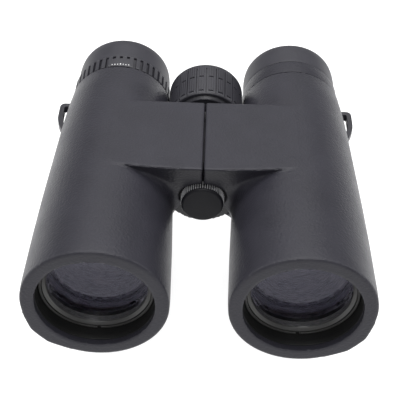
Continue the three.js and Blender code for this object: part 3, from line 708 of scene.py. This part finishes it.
armourShape = {
    "cell": 0.62,
    "cavityCell": 1.3,
    "thickness": 1.6,
    "lip": 2.4,
    "opening": 21.2,
    "rimEdge": 0.9,
    "openingEdge": 0.5,
    "pad": [(25.9, -68), (27.8, -49), (27.8, -31), (25.9, -12)],  # (radius, degrees)
    "padPlaces": (0, 2, 13),
    "padRadii": (27.5, 27.8, 25.2),  # at those places
    "scoop": 16.3,
    "scoopFront": 96.2,
    "socketHole": 9.2,
    "knuckleHole": 15.35,
    "knuckleFront": 54.43,
}


def armourField(side, x, y, z):
    shape = armourShape
    radial = np.hypot(x, z)
    field = bodyField(side, x, y, z)
    corners = [(0.0, 0.0)] + [
        (radius * math.cos(math.radians(angle)), radius * math.sin(math.radians(angle)))
        for radius, angle in shape["pad"]
    ]
    limit = np.interp(y, shape["padPlaces"], shape["padRadii"])
    pad = roundMax(polygonField(x, z, corners), radial - limit, 1.0)
    field = softMin(field, pad, 1.5)
    field = roundMax(field, -y, shape["rimEdge"])
    field = roundMax(field, y - body["length"], 0.25)
    opening = np.maximum(radial - shape["opening"], y - shape["lip"] - 0.8)
    field = roundMax(field, -opening, shape["openingEdge"])
    scoop = np.maximum(cylinderField(x, z, shape["scoop"]), shape["scoopFront"] - y)
    field = roundMax(field, -scoop, 0.4)
    socket = np.maximum(cylinderField(x, z, shape["socketHole"]), y - shape["knuckleFront"] - 1)
    knuckle = np.maximum(cylinderField(x, z, shape["knuckleHole"]), shape["knuckleFront"] - y)
    return roundMax(field, -np.minimum(socket, knuckle), 0.3)


def cavityField(side, x, y, z):
    shape = armourShape
    field = np.maximum(bodyField(side, x, y, z) + shape["thickness"], shape["lip"] - y)
    scoop = np.maximum(cylinderField(x, z, shape["scoop"] + 1.6), shape["scoopFront"] - 1.6 - y)
    return np.maximum(np.maximum(field, -scoop), y - body["length"] - 3)


# The casting inside the armour, with its knuckles of the hinge and the focusing chamber

casting = {
    "cell": 0.9,
    "gap": 1.9,  # armour and its clearance
    "front": 36.6,
    "spigotBore": (22.2, 42.6),  # (radius, how far back it goes)
    "bore": 18.0,
    "scoop": (18.2, 94.3),
    "knuckles": {  # (radius, front, rear) about the hinge
        "left": [(15.0, 54.73, 75.73), (13.2, 83.2, 88.8)],
        "right": [(13.2, 76.03, 81.7)],
    },
    "clearings": {
        "left": [(15.35, 30, 54.73), (15.35, 75.73, 83.2), (13.55, 88.8, 99)],
        "right": [(15.35, 30, 76.03), (13.55, 81.7, 99)],
    },
    "chambers": {
        "left": [(12.2, 62.73, 76.03), (5.8, 50, 92)],
        "right": [(7.0, 50, 92)],
    },
    "armSlot": (64.73, 73.73, 0.0, 6.0),  # front, rear, low, high
    "armReach": (-27.3, -16),  # across the barrel
    "sweep": (22.5, 177, 275),  # radius, and where the arm starts and ends, in degrees
}


def castingField(side, x, y, z):
    look = casting

    def pipe(radius, front, rear):
        return np.maximum(cylinderField(x, z, radius), np.maximum(front - y, y - rear))

    radial = np.hypot(x, z)
    field = bodyField(side, x, y, z) + look["gap"]
    field = np.maximum(field, np.maximum(look["front"] - y, y - body["length"]))
    field = np.maximum(field, -pipe(*look["scoop"], 200))
    for clearing in look["clearings"][side]:
        field = np.maximum(field, -pipe(*clearing))
    for knuckle in look["knuckles"][side]:
        field = np.minimum(field, pipe(*knuckle))
    for chamber in look["chambers"][side]:
        field = np.maximum(field, -pipe(*chamber))
    front, rear, low, high = look["armSlot"]
    armStart, armEnd = look["armReach"]
    lengthwise = np.maximum(front - y, y - rear)
    slot = np.maximum(np.maximum(low - z, z - high), np.maximum(armStart - x, x - armEnd))
    field = np.maximum(field, -np.maximum(slot, lengthwise))
    if side == "left":  # where the right barrel's focusing arm passes as the barrels fold
        reach, first, last = look["sweep"]
        fan = [(-halfSpacing, hingeHeight)] + [
            (reach * math.cos(math.radians(a)) - halfSpacing, reach * math.sin(math.radians(a)) + hingeHeight)
            for a in range(first, last + 1, 7)
        ]
        field = np.maximum(field, -np.maximum(polygonField(x, z, fan), lengthwise))
    wide, end = look["spigotBore"]
    field = np.maximum(field, -np.maximum(radial - wide, y - end))
    return np.maximum(field, look["bore"] - radial)


def makeHousing(side):
    low, high = (-halfSpacing - 16, 35, -26), (26, body["length"] + 1.5, 26)
    piece = fieldObject(f"{side}Housing", side, castingField, low, high, casting["cell"])
    return finishPiece(piece, f"{side}_housing", "paintedCasting")


strapPocket = {"front": 4.0, "rear": 2.4, "across": (19, 30), "half": 2}


def strapFeet(side):  # pockets for the two feet of the strap lug
    look = strapPocket
    y0, y1 = along(f"{side}_strap_lug")
    way = 1 if side == "left" else -1
    near, far = sorted(way * place for place in look["across"])
    pockets = []
    for low, high in ((y0 - fitGap, y0 + look["front"]), (y1 - look["rear"], y1 + fitGap)):
        pockets.append(block("pocket", (near, low, -look["half"]), (far, high, look["half"]), axisOf[side]))
    return pockets


def makeArmour(side):
    length = body["length"]
    low, high = (-halfSpacing - 1, -1.3, -29), (29, length + 1.3, 28)
    piece = fieldObject(f"{side}Armour", side, armourField, low, high, armourShape["cell"])
    far = (29, length + 4.5, 28)
    cavity = fieldObject("cavity", side, cavityField, low, far, armourShape["cavityCell"])
    combine(piece, cavity, "DIFFERENCE")
    for pocket in strapFeet(side):
        combine(piece, pocket, "DIFFERENCE")
    return finishPiece(piece, f"{side}_armour", "armourRubber")


# The objective: the front tube, the retaining ring, the cell, the two lenses and the ribbed baffle

objective = {
    "wallGap": 1.9,  # armour and its clearance
    "hoodRadius": 21.2,
    "seatRadius": 20.9,
    "bore": 18.0,
    "spigotLength": 6,
    "spigotStep": 1.8,
    "bezelRadius": 18.1,
    "notchWidth": 1.3,
    "ribPitch": 2.0,
    "ribDepth": 0.9,
}


def makeObjectiveTube(side):
    look, node = objective, f"{side}_objective_tube"
    front, rear = along(node)
    joint = rear - look["spigotLength"]
    shoulder = along(f"{side}_baffle")[0]
    outer = [(float(barrelRadius(y)) - look["wallGap"], float(y), 0) for y in np.linspace(front + 4, joint - 2, 6)]
    spigot = float(barrelRadius(joint)) - look["wallGap"] - look["spigotStep"]
    turnNode(node, [
        (look["hoodRadius"], front, 0.2),
        (float(barrelRadius(front)) - look["wallGap"], front, 0.3),
        *outer,
        (float(barrelRadius(joint)) - look["wallGap"], joint, 0.3),
        (spigot, joint, 0.2),
        (spigot, rear, 0.4),
        (look["bore"], rear, 0.3),
        (look["bore"], shoulder, 0.2),
        (look["seatRadius"], shoulder, 0.2),
        (look["seatRadius"], front + 1.7, 0.2),
    ], axisOf[side], "blackenedMetal", 128)


def makeRetainer(side):
    look, node = objective, f"{side}_objective_retainer"
    front, rear, outer = extent(node)
    inner = look["bezelRadius"]
    retainer = turn(f"{side}ObjectiveRetainer", [
        (outer, front, 0.15),
        (outer, rear, 0.1),
        (inner + 0.9, rear, 0.1),
        (inner, rear - 0.4, 0.15),
        (inner, rear - 0.75, 0.15),
        (inner + 1.25, front + 0.35, 0.15),  # the sloping bezel
        (inner + 1.25, front + 1.2, 0.1),
        (outer - 0.85, front + 1.2, 0.1),
        (outer - 0.85, front, 0.15),
    ], axisOf[side], 128)
    half = look["notchWidth"] / 2
    notch = block("notch", (-half, front - 1, -outer - 1), (half, front + 0.9, 1.0 - outer), (0, 0, 0))
    ring(retainer, notch, "DIFFERENCE", 2, axisOf[side], "blackenedMetal")
    finishPiece(retainer, node, "satinMetal")


def ribs(radius, start, end, pitch, depth):  # a wall of fine ribs, from start to end
    count = max(1, int(abs(end - start) / pitch))
    pitch = (end - start) / count
    wall = []
    for i in range(count):
        wall.append((radius, start + pitch * i, 0))
        wall.append((radius - depth, start + pitch * (i + 0.75), 0))
    return wall + [(radius, end, 0)]


def makeObjectiveCell(side):
    look, node = objective, f"{side}_objective_cell"
    front, rear, outer = extent(node)
    lensRear = along(f"{side}_flint_lens")[1]
    inner = radiusOf(f"{side}_crown_lens") + fitGap
    turnNode(node, [
        (outer, rear, 0.2),
        (outer, front, 0.2),
        (inner, front, 0.2),
        (inner, lensRear + 0.2, 0),
        *ribs(inner, lensRear + 0.4, rear, look["ribPitch"], look["ribDepth"]),
    ], axisOf[side], "opticalBlack", 128)


def makeBaffle(side):
    look, node = objective, f"{side}_baffle"
    front, rear, outer = extent(node)
    turnNode(node, [
        (outer, rear, 0),
        (outer, front, 0),
        *ribs(outer - 1.2, front, rear, look["ribPitch"], look["ribDepth"]),
    ], axisOf[side], "opticalBlack")


lensShapes = {  # how far the front and the rear of each lens bulge; below zero is hollow
    "crown_lens": (1.4, 1.2, "objectiveGlass"),
    "flint_lens": (-1.2, -0.5, "innerGlass"),
    "focus_lens": (-0.8, -0.8, "innerGlass"),
    "field_lens": (1.0, 1.0, "eyeGlass"),
    "eye_lens": (1.0, 0.8, "eyeGlass"),
}


def makeLens(side, kind):
    frontBulge, rearBulge, glass = lensShapes[kind]
    node = f"{side}_{kind}"
    front, rear, radius = extent(node)
    frontEdge, rearEdge = front + max(frontBulge, 0), rear - max(rearBulge, 0)
    shares = [i / 14 for i in range(15)]
    face = [(radius * s, frontEdge - frontBulge * (1 - s * s), 0) for s in shares]
    back = [(radius * s, rearEdge + rearBulge * (1 - s * s), 0) for s in reversed(shares)]
    turnNode(node, face + back, axisOf[side], glass)


# The eyepiece: its tube and cell, the cam and sleeve that carry the eyecup, and the rubber eyecup

eyepiece = {
    "flange": 17.7,
    "wall": 1.2,
    "cupRadius": 20.2,
    "cupOpening": 13.5,
    "cupFloor": 3.6,  # how deep the roll of the lip is
    "ringWall": 0.8,  # of the cam and the sleeve
    "camGrooves": 4,
}


def makeEyepiece(side):
    look, axis = eyepiece, axisOf[side]
    node = f"{side}_eyepiece_tube"
    front, rear = along(node)
    step = body["length"]
    outer = radiusOf(f"{side}_eyecup_cam") - 1.15
    inner = outer - look["wall"]
    turnNode(node, [
        (inner, front, 0.2), (look["flange"], front, 0.3), (look["flange"], step, 0.2),
        (outer, step, 0.1), (outer, rear, 0.35), (inner, rear, 0.35),
    ], axis, "blackenedMetal")

    node = f"{side}_eye_cell"
    front, rear, outer = extent(node)
    inner = radiusOf(f"{side}_eye_lens") + fitGap
    turnNode(node, [
        (outer, front, 0.2), (outer, rear, 0.3), (outer - 0.9, rear, 0.15), (outer - 1.1, rear - 0.5, 0.15),
        (inner + 1.2, rear - 0.5, 0.2), (inner, rear - 1.3, 0.15), (inner, front, 0.2),
    ], axis, "blackenedMetal")

    node = f"{side}_eyecup_cam"
    front, rear, outer = extent(node)
    grooves = []
    pitch = (rear - front) / (look["camGrooves"] + 1)
    for i in range(1, look["camGrooves"] + 1):  # click stops
        place = front + pitch * i
        grooves += [(outer, place - 0.4, 0.1), (outer - 0.35, place, 0.1), (outer, place + 0.4, 0.1)]
    turnNode(node, [
        (outer - look["ringWall"], front, 0.1), (outer, front, 0.3), *grooves,
        (outer, rear, 0.3), (outer - look["ringWall"], rear, 0.1),
    ], axis, "blackPlastic")

    node = f"{side}_eyecup_sleeve"
    front, rear, outer = extent(node)
    inner = outer - look["ringWall"]
    turnNode(node, [
        (inner, front, 0.2), (outer, front, 0.2), (outer, rear, 0.2), (inner, rear, 0.2),
    ], axis, "blackPlastic")

    node = f"{side}_eyecup_rubber"
    front, rear = along(node)
    radius, opening, floor = look["cupRadius"], look["cupOpening"], rear - look["cupFloor"]
    turnNode(node, [
        (outer + fitGap, front + 0.2, 0.2),
        (radius - 0.1, front + 0.2, 0.25),
        (radius, front + 1.2, 0.5),
        (radius - 0.1, rear - 4.4, 2),
        (radius - 0.6, rear - 1.1, 1.2),
        (radius - 2.0, rear, 1.2),
        (opening + 2.3, rear, 1.2),
        (opening, rear - 1.9, 1.3),
        (opening, floor, 0.4),
        (outer + fitGap, floor, 0.2),
    ], axis, "eyecupRubber", 128, 6)


# The plain collar on the left eyepiece, and the dioptre ring on the right one

rings = {
    "edge": 0.3,
    "collarInset": (0.75, 0.45),  # from the front and the rear of its node
    "bore": 17.6,
    "pads": 44,
    "smoothPads": 3,  # at the top, where the marks are
    "grooveWidth": 1.3,
    "grooveDepth": 1.3,
    "proud": 0.25,  # how far the pads stand out
    "shortGroove": 3.0,
    "marks": 7,
    "markPitch": 3.2,  # degrees
    "markStart": 1.5,  # from the front of the ring
    "markWidth": 0.35,
    "markLength": 1.0,
    "shortMark": 0.6,  # share of that length
    "markDepth": (0.3, 0.06),  # inside and outside the surface
}


def makeCollar():
    frontInset, rearInset = rings["collarInset"]
    front, rear = along("left_collar")
    front, rear = front + frontInset, rear - rearInset
    outer, bore, edge = radiusOf("left_collar"), rings["bore"], rings["edge"]
    turnNode("left_collar", [
        (bore, front, 0.2), (outer, front, edge), (outer - 0.2, rear, edge), (bore, rear, 0.2),
    ], axisOf["left"], "armourRubber", 128)


def makeDioptreRing():
    look, axis = rings, axisOf["right"]
    front, rear = along("dioptre_ring")
    outer, bore = radiusOf("dioptre_ring") + look["proud"], look["bore"]
    dioptre = turn("dioptreRing", [
        (bore, front + 0.8, 0.2), (outer - 0.2, front + 0.8, 0.2), (outer, front + 1.2, 0.3),
        (outer, rear - 0.9, 0.3), (outer - 0.2, rear - 0.5, 0.2), (bore, rear - 0.5, 0.2),
    ], axis, 144)
    pads, smoothPads = look["pads"], look["smoothPads"]
    pitch = math.tau / pads
    rows = (  # where the grooves start, the angle of the first one, and how many there are
        (front - 1, pitch * (smoothPads + 1) / 2, pads - smoothPads),
        (rear - look["shortGroove"], -pitch * (smoothPads - 1) / 2, smoothPads),
    )
    for place, start, copies in rows:
        cutGrooves(dioptre, axis, pads, look["grooveWidth"], look["grooveDepth"], place, rear + 1, outer, start, copies)
    finishPiece(dioptre, "dioptre_ring", "gripRubber")

    markFront = front + look["markStart"]
    sunk, raised = look["markDepth"]
    points, faces = [], []
    for i in range(look["marks"]):  # plain index ticks, with a longer one at zero
        middle = i - (look["marks"] - 1) / 2
        angle = math.radians(middle * look["markPitch"])
        long = look["markLength"] * (1.0 if middle == 0 else look["shortMark"])
        start = len(points)
        for x in (-look["markWidth"] / 2, look["markWidth"] / 2):
            for y in (markFront, markFront + long):
                for z in (outer - sunk, outer + raised):
                    points.append((
                        x * math.cos(angle) + z * math.sin(angle), y, z * math.cos(angle) - x * math.sin(angle),
                    ))
        faces += [tuple(start + corner for corner in quad) for quad in boxFaces]
    marks = makeObject("dioptreMarks", points, faces, axis)
    finishPiece(marks, "dioptre_ring", "markPaint", stands=False)


# The strap lugs, one on the outer side of each barrel

lug = {"reach": 3.9, "bar": 2.1, "edge": 0.5, "sink": 1.6}


def makeStrapLug(side):
    node = f"{side}_strap_lug"
    front, rear = along(node)
    low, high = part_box(node)
    thick = (high.z - low.z) / 2 / metre
    outer = float(np.interp((front + rear) / 2, *zip(*body["outline"]))) + lug["reach"]
    foot = {place: float(barrelRadius(place)) for place in (front, rear)}
    long, bar, sink = rear - front, lug["bar"], lug["sink"]
    outline = roundCorners([
        (foot[front] - sink, front, 0.2), (foot[front] + 0.4, front, 1.2), (outer - 0.8, front + long * 0.28, 2.5),
        (outer, front + long * 0.45, 2), (outer, rear - 1.5, 1.6), (outer - 1.2, rear, 1.2),
        (foot[rear] - sink, rear, 0.2), (foot[rear] - sink, rear - bar, 0.2), (outer - bar, rear - bar, 1.1),
        (outer - bar, front + long * 0.55, 2), (outer - bar - 0.4, front + long * 0.4, 1),
        (foot[front] - 0.2, front + bar + 1.6, 1), (foot[front] - sink, front + bar + 1.6, 0.2),
    ])
    way = 1 if side == "left" else -1
    count = len(outline)
    points = [(way * p.x, p.y, z) for z in (-thick, thick) for p in outline]
    lower, upper = tuple(range(count)), tuple(range(count, 2 * count))
    faces = [(i, (i + 1) % count, count + (i + 1) % count, count + i) for i in range(count)]
    faces += [lower[::-1], upper]
    if way < 0:
        faces = [face[::-1] for face in faces]
    if outlineArea(outline) < 0:
        faces = [face[::-1] for face in faces]
    piece = makeObject(f"{side}StrapLug", points, faces, axisOf[side])
    bevel = piece.modifiers.new("edges", "BEVEL")
    bevel.width = lug["edge"] * metre
    bevel.segments = 3
    bevel.limit_method = "ANGLE"
    bevel.angle_limit = math.radians(50)
    applyModifiers(piece)
    finishPiece(piece, node, "charcoalPlastic")


# The focusing wheel: its core, the ribbed grip round it and the cap on its end

wheel = {
    "proud": 0.3,  # how far the grip swells past the core
    "ribs": 96,
    "ribWidth": 0.26,
    "ribDepth": 0.2,
    "notches": 24,  # in each row
    "notchWidth": 2.0,
    "notchLength": 0.7,
    "notchDepth": 0.9,
    "notchRows": (-8.6, 1.2),  # from the middle of the grip
    "slots": 24,
    "slotWidth": 0.42,
    "slotDepth": 0.6,
}


def makeWheel():
    look, axis = wheel, axisOf["hinge"]
    front, rear, core = extent("focus_wheel")
    shaft = radiusOf("hinge_axle") + turnGap
    screw = radiusOf("focus_screw") + fitGap
    floor = along("hinge_axle")[1] + 0.5
    turnNode("focus_wheel", [
        (shaft, front, 0.2), (core - 4.2, front, 0.2), (core - 4.4, front + 0.6, 0.2), (core - 2.0, front + 0.6, 0.2),
        (core - 1.8, front, 0.2), (core - 1.2, front, 0.3), (core, front + 1.2, 0.3),
        (core, rear - 0.8, 0.2), (core - 1, rear, 0.4), (core - 3.4, rear, 0.3), (core - 3.7, rear - 0.4, 0.2),
        (screw, rear - 0.4, 0.2), (screw, floor, 0.2), (shaft, floor, 0.2),
    ], axis, "charcoalPlastic", 128)

    front, rear = along("focus_grip")
    outer = radiusOf("focus_grip") + look["proud"]
    grip = turn("focusGrip", [
        (core + fitGap, front, 0.15), (outer - 0.7, front, 0.3), (outer, front + 0.9, 0.5),
        (outer, rear - 0.9, 0.7), (outer - 0.6, rear, 0.4), (core + fitGap, rear, 0.15),
    ], axis, 160)
    cutGrooves(grip, axis, look["ribs"], look["ribWidth"], look["ribDepth"], front - 1, rear + 1, outer)
    cutGrooves(grip, axis, look["slots"], look["slotWidth"], look["slotDepth"], front - 1, rear - 3, outer)
    reach = look["notchLength"] / 2
    for row in look["notchRows"]:
        place = (front + rear) / 2 + row
        cutGrooves(grip, axis, look["notches"], look["notchWidth"], look["notchDepth"], place - reach, place + reach,
                   outer, math.pi / look["notches"])
    finishPiece(grip, "focus_grip", "gripRubber")

    front, rear, radius = extent("wheel_cap")
    turnNode("wheel_cap", [
        (0, front, 0), (radius, front, 0.15), (radius, rear - 0.2, 0.4), (radius - 1.6, rear, 0.4),
        (radius - 2.2, rear - 0.3, 0.3), (0, rear - 0.15, 0),
    ], axis, "blackPlastic")


# The hinge line: axle, nut, tripod socket, and the cap that screws into it

tripod = {
    "ridges": 56,
    "ridgeRadius": 0.19,
    "ridgeHeight": 0.4,
    "ridgeSides": 8,
    "faceEdge": 0.6,
    "flange": 8.9,
    "spigot": 3.0,
    "capLength": 5.1,
    "thread": 0.32,
    "threadPitch": 1.27,
    "threadCrest": 0.64,  # behind each root
    "threadTurns": 4,
    "keywayLength": 7.8,
    "keywayWidth": 2.5,
}


def makeTripodCap():
    look, axis = tripod, axisOf["hinge"]
    front, tip = along("tripod_cap")
    rear = front + look["capLength"]
    outer = radiusOf("tripod_cap")
    base, edge, spigot = outer - look["ridgeHeight"], look["faceEdge"], look["spigot"]
    thread = []
    for i in range(look["threadTurns"]):  # a screw thread, as rings
        place = rear + 1 + i * look["threadPitch"]
        thread += [(spigot, place, 0), (spigot - look["thread"], place + look["threadCrest"], 0)]
    cap = turn("tripodCap", [
        (0, front, 0), (base - edge + 0.2, front, 0.4), (base + 0.2, front + edge, 0.3), (base, rear, 0.3),
        (spigot - look["thread"], rear, 0.1), *thread, (spigot, tip - 0.6, 0.2), (spigot - 0.6, tip, 0.2), (0, tip, 0),
    ], axis, 128)
    radius = look["ridgeRadius"]
    ridge = turn("ridge", [
        (0, front + edge + 0.3, 0), (radius * 0.6, front + edge + 0.3, 0), (radius, front + edge + 0.7, 0),
        (radius, rear - 0.35, 0), (0, rear - 0.35, 0),
    ], Vector(((outer - radius) * metre, 0, 0)), look["ridgeSides"])
    finishPiece(cap, "tripod_cap", "capPlastic")
    # The ridges are a separate piece in a lighter finish than the cap: a painted highlight, standing in for the glints
    # of light on them
    inner, core = base - 0.5, base - 0.1  # inside the cap, so that only the ridges show
    highlightRidges = turn("tripodCapKnurl", [
        (inner, front + edge + 0.4, 0), (core, front + edge + 0.4, 0), (core, rear - 0.4, 0), (inner, rear - 0.4, 0),
    ], axis, 128)
    ring(highlightRidges, ridge, "UNION", look["ridges"], axis, "knurlPlastic")
    finishPiece(highlightRidges, "tripod_cap", "knurlPlastic", stands=False)


def makeHinge():
    look, axis = tripod, axisOf["hinge"]
    front, rear, outer = extent("cap_washer")
    bore = look["spigot"] + turnGap
    turnNode("cap_washer", [
        (bore, front, 0.15), (outer, front, 0.3), (outer, rear, 0.3), (bore, rear, 0.15),
    ], axis, "eyecupRubber")

    front, rear = along("tripod_socket")
    outer = look["flange"]
    thread = []
    for i in range(look["threadTurns"]):
        place = front + 0.8 + i * look["threadPitch"]
        thread += [(bore + 0.3, place, 0), (bore, place + look["threadCrest"], 0)]
    turnNode("tripod_socket", [
        (0, rear, 0), (radiusOf("hinge_axle"), rear, 0.3), (radiusOf("hinge_axle"), front + 1.2, 0.1),
        (outer, front + 1.2, 0.2), (outer, front, 0.3), (bore + 0.5, front, 0.2), *thread,
        (bore, rear - 0.7, 0), (0, rear - 0.7, 0),
    ], axis, "blackenedMetal")

    front, rear = along("hinge_nut")
    low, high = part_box("hinge_nut")
    corner = max(high.z - low.z, high.x - low.x) / 2 / metre
    bore = radiusOf("hinge_axle") + fitGap
    turnNode("hinge_nut", [
        (bore, front, 0.3), (corner, front, 0.4), (corner, rear, 0.4), (bore, rear, 0.3),
    ], axis, "blackenedMetal", 6, 3)

    front, rear, outer = extent("hinge_axle")
    axle = turn("hingeAxle", [
        (outer - 1.5, front, 0.2), (outer, front, 0.4), (outer, rear, 0.4), (outer - 1.5, rear, 0.2),
    ], axis)
    carriage = sum(along("focus_carriage")) / 2
    long, wide = look["keywayLength"] / 2, look["keywayWidth"] / 2
    slot = block("keyway", (-outer - 1, carriage - long, -wide), (outer + 1, carriage + long, wide), axis)
    combine(axle, slot, "DIFFERENCE")
    finishPiece(axle, "hinge_axle", "blackenedMetal")


hiddenNodes = {  # CAD nodes that stay, with a finish of their own
    "focus_cell": "opticalBlack",
    "prism_frame": "opticalBlack",
    "half_penta_prism": "prismGlass",
    "roof_prism": "prismGlass",
}
hingeNodes = {
    "focus_carriage": "steel",
    "focus_nut": "brass",
    "focus_screw": "steel",
    "hinge_bush": "brass",
    "thrust_washer": "brass",
}


def finishNode(node, finish):
    mesh = frame["nodes"][node].data
    mesh.materials.clear()
    mesh.materials.append(finishes[finish])


makeCamera()
makeStudio()
for side in ("left", "right"):
    made = makeArmour(side)
    print("armour made:", side, len(made.data.polygons))
    made = makeHousing(side)
    print("housing made:", side, len(made.data.polygons))
    makeObjectiveTube(side)
    makeRetainer(side)
    makeObjectiveCell(side)
    makeBaffle(side)
    for kind in lensShapes:
        makeLens(side, kind)
    makeEyepiece(side)
    makeStrapLug(side)
    for kind, finish in hiddenNodes.items():
        finishNode(f"{side}_{kind}", finish)
    print("barrel made:", side)
makeCollar()
makeDioptreRing()
print("collar and dioptre ring made")
makeWheel()
print("focusing wheel made")
makeTripodCap()
makeHinge()
for node, finish in hingeNodes.items():
    finishNode(node, finish)
print("hinge line made")
